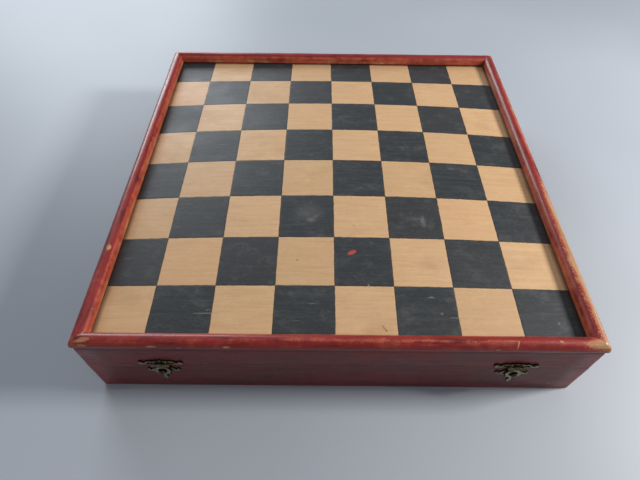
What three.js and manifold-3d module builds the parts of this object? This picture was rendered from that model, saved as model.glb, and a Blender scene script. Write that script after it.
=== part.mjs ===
// A chess set in its own case: a hinged box whose lid is the playing board, with the 32 men lying inside.
// Millimetres. +X is to the right, +Y to the back, +Z up. The origin is on the table under the case's centre.
import * as THREE from "three";
import { mergeVertices } from "three/addons/utils/BufferGeometryUtils.js";
import Module from "manifold-3d";

const GAP = 0.3; // what touching pieces leave between them

// Case
const CASE_SIDE = 331; // outer width and depth over the bead
const CASE_HEIGHT = 66;
const BASE_HEIGHT = 36; // up to the parting line
const WALL = 9.6; // rail thickness at the bead
const BEAD_RADIUS = WALL / 2; // half-round top of the lid's rails
const FACE_INSET = 0.8; // how far the flat faces lie behind the bead
const BOARD_TOP = 57; // height of the playing surface at its edges
const BOARD_RISE = 7.3; // how much higher the bowed board is in its middle
const BOARD_THICKNESS = 5;
const GROOVE_DEPTH = 3.2; // how far the board runs into the rails
const BOTTOM_THICKNESS = 4;
const REBATE_WIDTH = 4; // the ledge under the base's walls that takes the bottom
const DIVIDER_THICKNESS = 6;
const DIVIDER_HEIGHT = 29;

// Butt hinges
const HINGE_X = 100; // from the middle of the case
const HINGE_WIDTH = 38;
const LEAF_THICKNESS = 1.2;
const LEAF_REACH = 9.4; // from the pin's axis to the leaf's far edge
const KNUCKLE_RADIUS = 2.4;
const HINGE_PIN_RADIUS = 1;
const MIDDLE_KNUCKLE = 12.4;

// Catches
const CATCH_X = 115; // from the middle of the case
const PLATE_THICKNESS = 0.8;
const HASP_AXIS_RISE = 2.45; // height of the hasp's pin above the parting line
const HASP_AXIS_PROUD = 2; // how far the hasp's pin stands out from the face
const HASP_KNUCKLE_RADIUS = 1.3;
const HASP_PIN_RADIUS = 0.5;
const HASP_KNUCKLE = 5; // length of the hasp's own knuckle
const PLATE_KNUCKLE = 3; // length of each of the plate's two knuckles
const EYE_DROP = 5.1; // middle of the hasp's eye below the parting line
const EYE_HALF_WIDTH = 2.5;
const EYE_HALF_HEIGHT = 3.05;
const STUD_DROP = 4.65;
const STUD_NECK_RADIUS = 1.2;
const STUD_HEAD_RADIUS = 2;

// Men: overall height and foot radius; they lie down on the foot's rim and on their widest upper part
const MEN = {
  pawn: { height: 40, foot: 11.5 },
  rook: { height: 44, foot: 13 },
  knight: { height: 54, foot: 13.5 },
  bishop: { height: 56, foot: 13 },
  queen: { height: 70, foot: 14.5 },
  king: { height: 76, foot: 15.5 },
};
const TURNED_SIDES = 10; // facets round a man
const BACK_RANK = ["rook", "knight", "bishop", "queen", "king", "bishop", "knight", "rook"];
const OFFICER_PITCH = 38;
const PAWN_PITCH = 34;

// Derived
const HALF = CASE_SIDE / 2;
const FACE = HALF - FACE_INSET; // flat outer faces
const INSIDE = HALF - WALL; // half the width of the inside
const LID_BOTTOM = BASE_HEIGHT + GAP;
const PARTING = BASE_HEIGHT + GAP / 2;
const BEAD_CENTRE = CASE_HEIGHT - BEAD_RADIUS;
const HINGE_AXIS_Y = FACE + KNUCKLE_RADIUS + GAP;
const STUD_REACH = HINGE_AXIS_Y + KNUCKLE_RADIUS - FACE; // the stud stands as proud as the hinge at the back
const HASP_BORE_RADIUS = HASP_PIN_RADIUS + GAP;
const HINGE_BORE_RADIUS = HINGE_PIN_RADIUS + GAP;

const RED_WOOD = { color: 0x6e1f16, roughness: 0.45, metalness: 0 };
const BARE_WOOD = { color: 0xb98f5c, roughness: 0.7, metalness: 0 };
const BOARD_WOOD = { color: 0x8a7455, roughness: 0.5, metalness: 0 };
const BRASS = { color: 0x8d7440, roughness: 0.45, metalness: 1 };
const BOXWOOD = { color: 0xd8b06a, roughness: 0.4, metalness: 0 };
const EBONISED = { color: 0x1d1a18, roughness: 0.35, metalness: 0 };

const wasm = await Module();
wasm.setup();

// ---------- joining and cutting ----------

// A closed geometry as a manifold-3d solid.
function solidOf(geometry) {
  const bare = (geometry.index ? geometry.toNonIndexed() : geometry.clone()).deleteAttribute("normal");
  bare.deleteAttribute("uv");
  const merged = mergeVertices(bare, 1e-4);
  const vertProperties = merged.attributes.position.array;
  return new wasm.Manifold(new wasm.Mesh({ numProp: 3, vertProperties, triVerts: merged.index.array }));
}

// A manifold-3d solid back as a geometry.
function geometryOf(solid) {
  const { vertProperties, triVerts } = solid.getMesh();
  const geometry = new THREE.BufferGeometry();
  geometry.setAttribute("position", new THREE.BufferAttribute(vertProperties, 3));
  geometry.setIndex(new THREE.BufferAttribute(triVerts, 1));
  geometry.computeVertexNormals();
  return geometry;
}

const join = (...parts) => geometryOf(parts.map(solidOf).reduce((all, part) => all.add(part)));
const cut = (body, ...tools) =>
  geometryOf(tools.map(solidOf).reduce((left, tool) => left.subtract(tool), solidOf(body)));

// ---------- shapes ----------

// A box from its lowest corner to its highest.
function block([x0, y0, z0], [x1, y1, z1]) {
  const box = new THREE.BoxGeometry(x1 - x0, y1 - y0, z1 - z0);
  return box.translate((x0 + x1) / 2, (y0 + y1) / 2, (z0 + z1) / 2);
}

// A round bar along X between two ends, about the X axis.
function barAlongX(radius, from, to, sides = 16) {
  const bar = new THREE.CylinderGeometry(radius, radius, to - from, sides);
  return bar.rotateZ(Math.PI / 2).translate((from + to) / 2, 0, 0);
}

// Points on an arc about (x, y); the angles are in degrees, anticlockwise from +X.
function arc(x, y, radius, from, to, steps) {
  return Array.from({ length: steps + 1 }, (_, i) => {
    const angle = THREE.MathUtils.degToRad(from + ((to - from) * i) / steps);
    return [x + radius * Math.cos(angle), y + radius * Math.sin(angle)];
  });
}

const points = (pairs) => pairs.map(([x, y]) => new THREE.Vector2(x, y));

// A sheet-metal plate: an outline in X and Z, its thickness running out from the face towards -Y.
function plate(outline, holes, proud) {
  const shape = new THREE.Shape(points(outline));
  shape.holes = holes.map((hole) => new THREE.Path(points(hole)));
  const sheet = new THREE.ExtrudeGeometry(shape, { depth: PLATE_THICKNESS, bevelEnabled: false });
  return sheet.rotateX(Math.PI / 2).translate(0, -proud, 0);
}

// A right half outline, from bottom to top, closed by its mirror image.
function mirrored(half) {
  const left = half.filter(([x]) => x > 0).map(([x, z]) => [-x, z]);
  return [...half, ...left.reverse()];
}

// A rail of the front side with 45 degree ends; the profile is [distance in from the bead's outside, height].
function mitredRail(profile) {
  const shape = new THREE.Shape(points(profile));
  const rail = new THREE.ExtrudeGeometry(shape, { depth: 1, bevelEnabled: false });
  const place = rail.attributes.position;
  for (let i = 0; i < place.count; i++) {
    const inward = place.getX(i);
    const halfLength = HALF - inward - GAP / 2;
    place.setXYZ(i, (2 * place.getZ(i) - 1) * halfLength, inward - HALF, place.getY(i));
  }
  return rail;
}

// ---------- the case ----------

function baseWall() {
  const ledge = BOTTOM_THICKNESS + GAP;
  return mitredRail([
    [FACE_INSET, 0],
    [WALL - REBATE_WIDTH, 0],
    [WALL - REBATE_WIDTH, ledge],
    [WALL, ledge],
    [WALL, BASE_HEIGHT],
    [FACE_INSET, BASE_HEIGHT],
  ]);
}

function lidRail() {
  const grooveTop = BOARD_TOP + GAP;
  const grooveBottom = BOARD_TOP - BOARD_THICKNESS - GAP;
  const quirk = THREE.MathUtils.radToDeg(Math.acos(1 - FACE_INSET / BEAD_RADIUS));
  return mitredRail([
    [FACE_INSET, LID_BOTTOM],
    [WALL, LID_BOTTOM],
    [WALL, grooveBottom],
    [WALL - GROOVE_DEPTH, grooveBottom],
    [WALL - GROOVE_DEPTH, grooveTop],
    [WALL, grooveTop],
    ...arc(BEAD_RADIUS, BEAD_CENTRE, BEAD_RADIUS, 0, 180 + quirk, 14),
  ]);
}

// The two pockets that the hinge leaves lie in, cut at the outer face of a rail, from bottom to top.
function hingePockets(bottom, top) {
  const far = HINGE_AXIS_Y - LEAF_REACH - GAP;
  const half = HINGE_WIDTH / 2 + GAP;
  return [-HINGE_X, HINGE_X].map((x) => block([x - half, -HALF, bottom], [x + half, -far, top]));
}

function bottomPanel() {
  const half = INSIDE + REBATE_WIDTH - GAP;
  return block([-half, -half, 0], [half, half, BOTTOM_THICKNESS]);
}

// The board is bowed upwards both ways; its edges lie flat in the rails' grooves.
function boardPanel() {
  const half = INSIDE + GROOVE_DEPTH - GAP;
  const steps = 16;
  const panel = new THREE.BoxGeometry(2 * half, 2 * half, BOARD_THICKNESS, steps, steps, 1);
  const place = panel.attributes.position;
  for (let i = 0; i < place.count; i++) {
    const [x, y] = [place.getX(i) / half, place.getY(i) / half];
    place.setZ(i, place.getZ(i) + BOARD_RISE * (1 - x * x) * (1 - y * y));
  }
  return panel.translate(0, 0, BOARD_TOP - BOARD_THICKNESS / 2);
}

function divider() {
  const end = INSIDE - GAP;
  const side = DIVIDER_THICKNESS / 2;
  const bottom = BOTTOM_THICKNESS + GAP;
  return block([-end, -side, bottom], [end, side, bottom + DIVIDER_HEIGHT]);
}

// ---------- hinges, about the pin's axis ----------

// side is -1 for the leaf in the base, which has the outer knuckles, and 1 for the leaf in the lid.
function hingeLeaf(side) {
  const near = (side * GAP) / 2;
  const far = side * (GAP / 2 + LEAF_THICKNESS);
  const half = HINGE_WIDTH / 2;
  const middle = MIDDLE_KNUCKLE / 2;
  const outer = middle + GAP;
  const spans = { middle: [[-middle, middle]], ends: [[-half, -outer], [outer, half]] };
  const own = side < 0 ? spans.ends : spans.middle;
  const other = side < 0 ? [[-outer, outer]] : [[-half - 1, -middle], [middle, half + 1]];
  const leaf = block([-half, -LEAF_REACH, Math.min(near, far)], [half, 0, Math.max(near, far)]);
  const rolled = join(leaf, ...own.map(([from, to]) => barAlongX(KNUCKLE_RADIUS, from, to)));
  const clearances = other.map(([from, to]) => barAlongX(KNUCKLE_RADIUS + GAP, from, to));
  return cut(rolled, ...clearances, barAlongX(HINGE_BORE_RADIUS, -HINGE_WIDTH, HINGE_WIDTH, 12));
}

const hingePin = () => barAlongX(HINGE_PIN_RADIUS, -HINGE_WIDTH / 2, HINGE_WIDTH / 2, 12);

// ---------- catches, about the parting line on the front face ----------

// A bar round the hasp's axis.
const haspBar = (radius, from, to) =>
  barAlongX(radius, from, to, 12).translate(0, -HASP_AXIS_PROUD, HASP_AXIS_RISE);

function catchPlate() {
  const notch = HASP_AXIS_RISE + HASP_KNUCKLE_RADIUS + GAP;
  const slot = HASP_KNUCKLE / 2 + GAP;
  const end = slot + PLATE_KNUCKLE;
  const outline = mirrored([
    [slot, notch],
    [slot, HASP_AXIS_RISE - 0.4],
    [end, HASP_AXIS_RISE - 0.4],
    [end + 1.4, 1.6],
    [9.6, 2],
    ...arc(12.4, 3.1, 2.4, -130, 110, 7),
    [9.8, 4.4],
    [7.8, 6.3],
    [5, 5.4],
    [2.4, 5.8],
    [0, 7.2],
  ]);
  const knuckles = [-1, 1].map((side) => {
    const [from, to] = [side * slot, side * end].sort((a, b) => a - b);
    return haspBar(HASP_KNUCKLE_RADIUS, from, to);
  });
  return cut(join(plate(outline, [], GAP), ...knuckles), haspBar(HASP_BORE_RADIUS, -HALF, HALF));
}

function hasp() {
  const neck = HASP_KNUCKLE / 2;
  const boss = arc(0, 0, 1, -58, 58, 8).map(([x, z]) => [5.5 * x, 6 * z - EYE_DROP]);
  const outline = mirrored([
    [0, -18.2],
    [1.5, -17],
    ...arc(0.4, -14.6, 2.2, -40, 50, 3),
    [1.6, -11.6],
    ...boss,
    [neck, 1.4],
    [neck, HASP_AXIS_RISE],
  ]);
  const eye = arc(0, 0, 1, 0, 330, 11).map(([x, z]) => [
    EYE_HALF_WIDTH * x,
    EYE_HALF_HEIGHT * z - EYE_DROP,
  ]);
  const tongue = plate(outline, [eye], HASP_AXIS_PROUD - PLATE_THICKNESS / 2);
  const knuckle = haspBar(HASP_KNUCKLE_RADIUS, -neck, neck);
  return cut(join(tongue, knuckle), haspBar(HASP_BORE_RADIUS, -HALF, HALF));
}

function haspPin() {
  const half = HASP_KNUCKLE / 2 + GAP + PLATE_KNUCKLE;
  return haspBar(HASP_PIN_RADIUS, -half, half);
}

function studPlate() {
  const outline = mirrored([
    [0, -13.2],
    [2.2, -11.8],
    [4.2, -11.6],
    [5.4, -9.6],
    ...arc(9, -7.6, 2.1, -120, 100, 6),
    [6.2, -4.4],
    [4.4, -2.2],
    [0, -1.8],
  ]);
  const hole = arc(0, -STUD_DROP, STUD_NECK_RADIUS + GAP, 0, 324, 9);
  return plate(outline, [hole], GAP);
}

function stud() {
  const neckEnd = 3;
  const profile = points([
    [0, GAP],
    [STUD_NECK_RADIUS, GAP],
    [STUD_NECK_RADIUS, neckEnd],
    [STUD_HEAD_RADIUS, neckEnd + 0.4],
    [STUD_HEAD_RADIUS, STUD_REACH - 1],
    [1.2, STUD_REACH - 0.25],
    [0, STUD_REACH],
  ]);
  return new THREE.LatheGeometry(profile, 12).rotateX(Math.PI).translate(0, 0, -STUD_DROP);
}

// ---------- men, standing on Z = 0 ----------

// The foot and the hollow stem that every man has, up to its collar: [radius, height] pairs.
function turnedFoot(foot, waist, collarHeight, collar) {
  return [
    [0, 0],
    [foot, 0],
    [foot, 0.3 * foot],
    [0.74 * foot, 0.6 * foot],
    [0.6 * foot, 0.9 * foot],
    [waist, 0.62 * collarHeight],
    [waist, 0.9 * collarHeight],
    [collar, collarHeight],
    [0.7 * collar, collarHeight + 0.16 * foot],
  ];
}

// Each man's profile, and the radius and height of the part it leans on when it lies down.
const TURNED = {
  pawn({ height, foot }) {
    const ball = 0.58 * foot;
    const middle = height - ball;
    const head = arc(0, middle, ball, -45, 90, 4);
    return { profile: [...turnedFoot(foot, 0.36 * foot, 0.6 * height, 0.68 * foot), ...head], rest: [ball, middle] };
  },
  rook({ height, foot }) {
    const drum = 0.7 * foot;
    const sill = 0.78 * height;
    const head = [[drum, sill], [drum, height], [0.68 * drum, height], [0.68 * drum, height - 3], [0, height - 3]];
    const profile = [...turnedFoot(foot, 0.5 * foot, 0.66 * height, 0.66 * foot), ...head];
    return { profile, rest: [drum, height] };
  },
  bishop({ height, foot }) {
    const mitre = 0.47 * foot;
    const middle = 0.79 * height;
    const head = [[0.8 * mitre, 0.74 * height], [mitre, middle], [0.62 * mitre, 0.89 * height]];
    const bead = arc(0, height - 1.9, 1.9, -40, 90, 2);
    const profile = [...turnedFoot(foot, 0.34 * foot, 0.62 * height, 0.62 * foot), ...head, ...bead];
    return { profile, rest: [mitre, middle] };
  },
  queen({ height, foot }) {
    const crown = 0.6 * foot;
    const rim = 0.92 * height;
    const head = [[0.42 * foot, 0.76 * height], [crown, rim], [0.7 * crown, rim], [2, rim + 1.4]];
    const bead = arc(0, height - 2, 2, -30, 90, 2);
    const profile = [...turnedFoot(foot, 0.34 * foot, 0.68 * height, 0.64 * foot), ...head, ...bead];
    return { profile, rest: [crown, rim] };
  },
  king({ height, foot }) {
    const crown = 0.58 * foot;
    const rim = 0.86 * height;
    const head = [[0.42 * foot, 0.72 * height], [crown, rim], [0.6 * crown, rim + 2.2], [0, rim + 3]];
    const profile = [...turnedFoot(foot, 0.34 * foot, 0.66 * height, 0.64 * foot), ...head];
    return { profile, rest: [crown, rim] };
  },
  knight({ height, foot }) {
    const profile = [...turnedFoot(foot, 0.56 * foot, 0.36 * height, 0.74 * foot), [0, 0.42 * height]];
    return { profile, rest: [KNIGHT_CHEEK, height] };
  },
};
const KNIGHT_CHEEK = 6; // half the thickness of the horse's head

// The upright cross on the king's crown.
function kingsCross({ height }) {
  const [arm, bar, depth] = [3.6, 1.3, 1.3];
  const cross = new THREE.Shape(
    points([
      [-1.4, 0],
      [1.4, 0],
      [bar, 4],
      [arm, 3.6],
      [arm, 6.6],
      [bar, 6.2],
      [bar, 9.2],
      [-bar, 9.2],
      [-bar, 6.2],
      [-arm, 6.6],
      [-arm, 3.6],
      [-bar, 4],
    ]),
  );
  const flat = new THREE.ExtrudeGeometry(cross, { depth: 2 * depth, bevelEnabled: false });
  return flat.rotateX(Math.PI / 2).translate(0, depth, height - 9.2);
}

// The horse's head, seen from the side with its nose towards +X.
function horseHead({ height, foot }) {
  const outline = [
    [-0.62, 0.3],
    [0.6, 0.3],
    [0.66, 0.42],
    [0.24, 0.58],
    [0.2, 0.66],
    [0.62, 0.6],
    [0.86, 0.62],
    [0.92, 0.7],
    [0.42, 0.88],
    [0.2, 1],
    [0, 0.92],
    [-0.3, 0.9],
    [-0.66, 0.74],
    [-0.76, 0.54],
  ];
  const shape = new THREE.Shape(points(outline.map(([x, z]) => [x * foot, z * height])));
  const head = new THREE.ExtrudeGeometry(shape, { depth: 2 * KNIGHT_CHEEK, bevelEnabled: false });
  return head.rotateX(Math.PI / 2).translate(0, KNIGHT_CHEEK, 0);
}

// The man as one solid, standing.
function turnedMan(kind) {
  const size = MEN[kind];
  const body = new THREE.LatheGeometry(points(TURNED[kind](size).profile), TURNED_SIDES).rotateX(Math.PI / 2);
  if (kind === "king") return join(body, kingsCross(size));
  if (kind === "knight") return join(body, horseHead(size));
  return body;
}

// ---------- assembly ----------

const group = new THREE.Group();

function add(name, geometry, finish, place = [0, 0, 0], parent = group) {
  const mesh = new THREE.Mesh(geometry, new THREE.MeshStandardMaterial(finish));
  mesh.name = name;
  mesh.position.set(...place);
  parent.add(mesh);
  return mesh;
}

// Four rails round the case, turned from the front one; the back one has the hinge pockets.
function addRails(prefix, rail, backRail) {
  ["front", "right", "back", "left"].forEach((side, quarter) => {
    const mesh = add(`${prefix}_${side}`, side === "back" ? backRail : rail, RED_WOOD);
    mesh.rotation.z = (quarter * Math.PI) / 2;
  });
}

function addCase() {
  const pocketDepth = LEAF_THICKNESS + GAP;
  const basePockets = hingePockets(BASE_HEIGHT - pocketDepth, CASE_HEIGHT);
  const lidPockets = hingePockets(0, LID_BOTTOM + pocketDepth);
  addRails("base", baseWall(), cut(baseWall(), ...basePockets));
  addRails("lid", lidRail(), cut(lidRail(), ...lidPockets));
  add("base_bottom", bottomPanel(), BARE_WOOD);
  add("divider", divider(), BARE_WOOD);
  add("playing_board", boardPanel(), BOARD_WOOD);
}

function addHinge(side, x) {
  const place = [x, HINGE_AXIS_Y, PARTING];
  add(`hinge_leaf_base_${side}`, hingeLeaf(-1), BRASS, place);
  add(`hinge_leaf_lid_${side}`, hingeLeaf(1), BRASS, place);
  add(`hinge_pin_${side}`, hingePin(), BRASS, place);
}

function addCatch(side, x) {
  const place = [x, -FACE, PARTING];
  add(`catch_plate_${side}`, catchPlate(), BRASS, place);
  add(`hasp_${side}`, hasp(), BRASS, place);
  add(`hasp_pin_${side}`, haspPin(), BRASS, place);
  add(`stud_plate_${side}`, studPlate(), BRASS, place);
  add(`stud_${side}`, stud(), BRASS, place);
}

// Lays a man on the floor of the case with its foot at y and its head towards the given side (1 back, -1 front).
function addMan(name, kind, finish, x, y, towards) {
  const { foot } = MEN[kind];
  const [restRadius, restHeight] = TURNED[kind](MEN[kind]).rest;
  const rim = 0.3 * foot;
  const dip = Math.atan2(foot - restRadius, restHeight - rim);
  const floor = BOTTOM_THICKNESS + GAP;
  const lift = floor + foot * Math.cos(dip) + rim * Math.sin(dip);
  const heading = new THREE.Group();
  heading.position.set(x, y, lift);
  heading.rotation.z = towards > 0 ? 0 : Math.PI;
  group.add(heading);
  add(name, turnedMan(kind), finish, [0, 0, 0], heading).rotation.x = -Math.PI / 2 - dip;
}

// One army in its compartment: officers with their feet at the outer wall, pawns with theirs at the divider.
function addArmy(colour, finish, towards) {
  const officersY = -towards * (INSIDE - 3);
  const pawnsY = -towards * (DIVIDER_THICKNESS / 2 + 4);
  const count = {};
  BACK_RANK.forEach((kind, i) => {
    count[kind] = (count[kind] ?? 0) + 1;
    const number = kind === "king" || kind === "queen" ? "" : `_${count[kind]}`;
    addMan(`${colour}_${kind}${number}`, kind, finish, (i - 3.5) * OFFICER_PITCH, officersY, towards);
  });
  for (let i = 0; i < 8; i++) {
    addMan(`${colour}_pawn_${i + 1}`, "pawn", finish, (i - 3.5) * PAWN_PITCH, pawnsY, -towards);
  }
}

addCase();
addHinge("left", -HINGE_X);
addHinge("right", HINGE_X);
addCatch("left", -CATCH_X);
addCatch("right", CATCH_X);
addArmy("white", BOXWOOD, 1);
addArmy("black", EBONISED, -1);

export default group;
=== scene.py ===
"""A chess set in its own hinged case, whose lid is the framed board.

Everything is in metres in the CAD model's frame: +X to the right, +Y to the back where the hinges
are, +Z up, with the origin on the table under the middle of the case. Sizes named in millimetres
are turned into metres where a mesh is made.
"""

import logging
import math
from dataclasses import dataclass, replace
from enum import Enum
from typing import Sequence

import bmesh
import bpy
import numpy as np
from mathutils import Matrix
from numpy.typing import NDArray


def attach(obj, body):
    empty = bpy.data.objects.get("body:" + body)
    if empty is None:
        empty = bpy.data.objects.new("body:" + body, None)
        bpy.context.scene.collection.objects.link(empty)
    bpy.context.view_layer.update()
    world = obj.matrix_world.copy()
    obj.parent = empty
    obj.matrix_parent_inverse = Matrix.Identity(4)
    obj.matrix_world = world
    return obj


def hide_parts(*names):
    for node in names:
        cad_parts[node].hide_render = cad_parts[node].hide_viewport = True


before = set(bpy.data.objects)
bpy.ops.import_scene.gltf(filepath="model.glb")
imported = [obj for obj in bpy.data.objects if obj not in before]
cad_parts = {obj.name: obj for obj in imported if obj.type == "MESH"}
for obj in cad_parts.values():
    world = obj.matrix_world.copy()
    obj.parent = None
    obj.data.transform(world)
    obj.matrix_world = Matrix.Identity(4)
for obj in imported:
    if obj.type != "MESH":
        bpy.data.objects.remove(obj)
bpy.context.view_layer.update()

Array = NDArray[np.float64]
Colour = tuple[float, float, float]
Socket = bpy.types.NodeSocket
LOG = logging.getLogger("chess_case")
MM = 0.001
WELD = 4e-6  # vertices closer than this, in metres, become one
SLIVER = 1e-6  # edges shorter than this, in metres, are dissolved
TINY = 1e-9  # keeps a length that is divided by from being 0

# Sizes that the sub-assemblies share, in millimetres
HALF = 165.5  # half the case's width over the bead
FACE = 164.7  # flat outer faces
WALL = 9.6
INSIDE = HALF - WALL
BASE_TOP = 36.06
LID_BOTTOM = 36.24
PARTING = 36.15
CASE_TOP = 66.0
BOARD_TOP = 57.0
BOARD_THICKNESS = 5.0
BOARD_RISE = 7.3
GROOVE_DEPTH = 3.2
FLOOR_TOP = 4.0
HINGE_X = 100.0
HINGE_Y = 167.4
HINGE_REACH = 9.4
HINGE_HALF = 19.0
CATCH_X = 115.0
HASP_AXIS_RISE = 2.45
HASP_AXIS_PROUD = 2.0
SQUARE = 40.0
GRID_SHIFT = (-2.7, 1.2)  # the chequers' middle, a little off the case's


def linear(red: int, green: int, blue: int) -> Colour:
    """Turns a display colour of 0 to 255 into linear light, by the sRGB curve."""
    parts = [c / 255.0 for c in (red, green, blue)]
    return tuple(c / 12.92 if c <= 0.04045 else ((c + 0.055) / 1.055) ** 2.4 for c in parts)


def smoothstep(value: Array) -> Array:
    """Eases 0 to 1: three times the square less twice the cube of the clipped value."""
    v = np.clip(value, 0.0, 1.0)
    return v * v * (3.0 - 2.0 * v)


def spline(points: Sequence[Sequence[float]], steps: int) -> Array:
    """Draws a Catmull-Rom curve through points of any dimension.

    Args:
        points: The points that the curve passes through.
        steps: How many pieces each span between two points is cut into.

    Returns:
        The points along the curve, both ends included.
    """
    p = np.asarray(points, float)
    ends = np.concatenate([[2 * p[0] - p[1]], p, [2 * p[-1] - p[-2]]])
    a, b, c, d = ends[:-3], ends[1:-2], ends[2:-1], ends[3:]
    t = np.linspace(0, 1, steps, endpoint=False)[None, :, None]
    a, b, c, d = (x[:, None, :] for x in (a, b, c, d))
    square, cube = 2 * a - 5 * b + 4 * c - d, 3 * b - a - 3 * c + d
    curve = 0.5 * (2 * b + (c - a) * t + square * t**2 + cube * t**3)
    return np.concatenate([curve.reshape(-1, p.shape[1]), p[-1:]])


def arc(centre: tuple[float, float], radius: float, start: float, end: float, steps: int) -> Array:
    """Points on a circle's arc, the angles in degrees anticlockwise from the first axis."""
    a = np.radians(np.linspace(start, end, steps + 1))
    return np.stack([centre[0] + radius * np.cos(a), centre[1] + radius * np.sin(a)], -1)


# ---------------- meshes


class Shell:
    """Collects grids of points and welds them into one closed mesh.

    Each vertex carries what the finishes read: grain, its place in the piece's own wood; wear, how
    much it is rubbed or stands proud, and also painted shade: below 0 on the rails, and along the
    board's edge; and stain, how much of the outer finish it has.
    """

    def __init__(self, name: str) -> None:
        """Starts an empty shell with the name its object will have.

        Args:
            name: The object's name.
        """
        self.name = name
        self.points: list[Array] = []
        self.facts: list[Array] = []
        self.faces: list[list[int]] = []
        self.slots: list[int] = []
        self.count = 0

    def _note(
        self, points: Array, grain: Array | None, wear: Array | float, stain: Array | float
    ) -> int:
        """Stores vertices in millimetres with their facts and returns the first one's number.

        Args:
            points: The vertices.
            grain: Their places in the wood, or None.
            wear: Their wear.
            stain: Their stain.

        Returns:
            The first one's number.
        """
        flat = points.reshape(-1, 3)
        facts = np.zeros((len(flat), 5))
        own = points if grain is None else np.broadcast_to(grain, points.shape)
        facts[:, :3] = own.reshape(-1, 3)
        facts[:, 3] = np.broadcast_to(wear, points.shape[:-1]).reshape(-1)
        facts[:, 4] = np.broadcast_to(stain, points.shape[:-1]).reshape(-1)
        self.points.append(flat)
        self.facts.append(facts)
        start = self.count
        self.count += len(flat)
        return start

    def grid(
        self,
        points: Array,
        grain: Array | None = None,
        wear: Array | float = 0.0,
        stain: Array | float = 1.0,
        around: bool = False,
        slot: int = 0,
    ) -> None:
        """Adds a surface given as rows by columns of points.

        Args:
            points: Rows by columns by 3, in millimetres.
            grain: Each point's place in the wood, in millimetres; the point itself if None.
            wear: Each point's rubbing, relief or painted shade, or one number for all.
            stain: Each point's share of the outer finish, or one number for all.
            around: Whether the last column joins the first.
            slot: Which of the object's materials the surface takes.
        """
        rows, columns = points.shape[:2]
        start = self._note(points, grain, wear, stain)
        number = start + np.arange(rows * columns).reshape(rows, columns)
        if around:
            number = np.concatenate([number, number[:, :1]], 1)
        corners = [number[:-1, :-1], number[:-1, 1:], number[1:, 1:], number[1:, :-1]]
        quads = np.stack(corners, -1).reshape(-1, 4)
        self.faces += quads.tolist()
        self.slots += [slot] * len(quads)

    def cap(self, ring: Array, grain: Array | None = None, stain: float = 1.0) -> None:
        """Closes a ring of points in order with one flat face.

        Args:
            ring: The points round the face.
            grain: Their places in the wood.
            stain: The share of the outer finish.
        """
        start = self._note(ring, grain, 0.0, stain)
        self.faces.append(list(range(start, start + len(ring))))
        self.slots.append(0)

    def mesh(self, points: Array, faces: list[list[int]], wear: Array | float = 0.0) -> None:
        """Adds ready-made faces over points in millimetres.

        Args:
            points: The vertices.
            faces: Each face as a list of vertex numbers.
            wear: The vertices' wear.
        """
        start = self._note(points, None, wear, 1.0)
        self.faces += [[start + i for i in face] for face in faces]
        self.slots += [0] * len(faces)

    def join(self, part: "Shell", shift: Sequence[float], wear: float) -> None:
        """Adds another shell's faces, moved by a shift.

        Args:
            part: The other shell.
            shift: How far it is moved, in millimetres.
            wear: The wear that all of it takes.
        """
        self.mesh(np.concatenate(part.points) + np.asarray(shift), part.faces, wear)

    def named(self, name: str) -> "Shell":
        """The same surface, to be built again under another name.

        Args:
            name: The new object's name.

        Returns:
            The new shell.
        """
        twin = Shell(name)
        twin.points, twin.facts, twin.faces, twin.slots = (
            self.points, self.facts, self.faces, self.slots
        )
        return twin

    def build(
        self,
        materials: Sequence[bpy.types.Material],
        place: Matrix | None = None,
        crease: float = 32.0,
        offset: Sequence[float] = (0.0, 0.0, 0.0),
    ) -> bpy.types.Object:
        """Makes the object, welded and with its faces turned outwards.

        Args:
            materials: The materials, in slot order.
            place: Where the shell goes, in millimetres, if it was built elsewhere.
            crease: The angle in degrees past which an edge stays sharp.
            offset: What is added to the grain, so that no two alike pieces share a figure.

        Returns:
            The new object, standing at the origin with its place in its mesh.
        """
        facts = np.concatenate(self.facts)
        points = np.concatenate(self.points)
        if place is not None:
            m = np.array(place)
            points = points @ m[:3, :3].T + m[:3, 3]
        data = bpy.data.meshes.new(self.name)
        data.from_pydata((points * MM).tolist(), [], self.faces)
        data.polygons.foreach_set("material_index", self.slots)
        grain = data.attributes.new("grain", "FLOAT_VECTOR", "POINT")
        grain.data.foreach_set("vector", ((facts[:, :3] + np.asarray(offset)) * MM).ravel())
        for column, label in ((3, "wear"), (4, "stain")):
            layer = data.attributes.new(label, "FLOAT", "POINT")
            layer.data.foreach_set("value", facts[:, column].copy())
        work = bmesh.new()
        work.from_mesh(data)
        bmesh.ops.remove_doubles(work, verts=work.verts, dist=WELD)
        bmesh.ops.dissolve_degenerate(work, edges=work.edges, dist=SLIVER)
        bmesh.ops.recalc_face_normals(work, faces=work.faces)
        work.to_mesh(data)
        work.free()
        data.polygons.foreach_set("use_smooth", np.ones(len(data.polygons), bool))
        data.set_sharp_from_angle(angle=math.radians(crease))
        for material in materials:
            data.materials.append(material)
        piece = bpy.data.objects.new(self.name, data)
        bpy.context.scene.collection.objects.link(piece)
        return piece


class Axis(Enum):
    """Which way a turned piece's height runs: to the right along +X, or to the front along -Y."""

    ACROSS = 0
    FORWARD = 1


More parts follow.
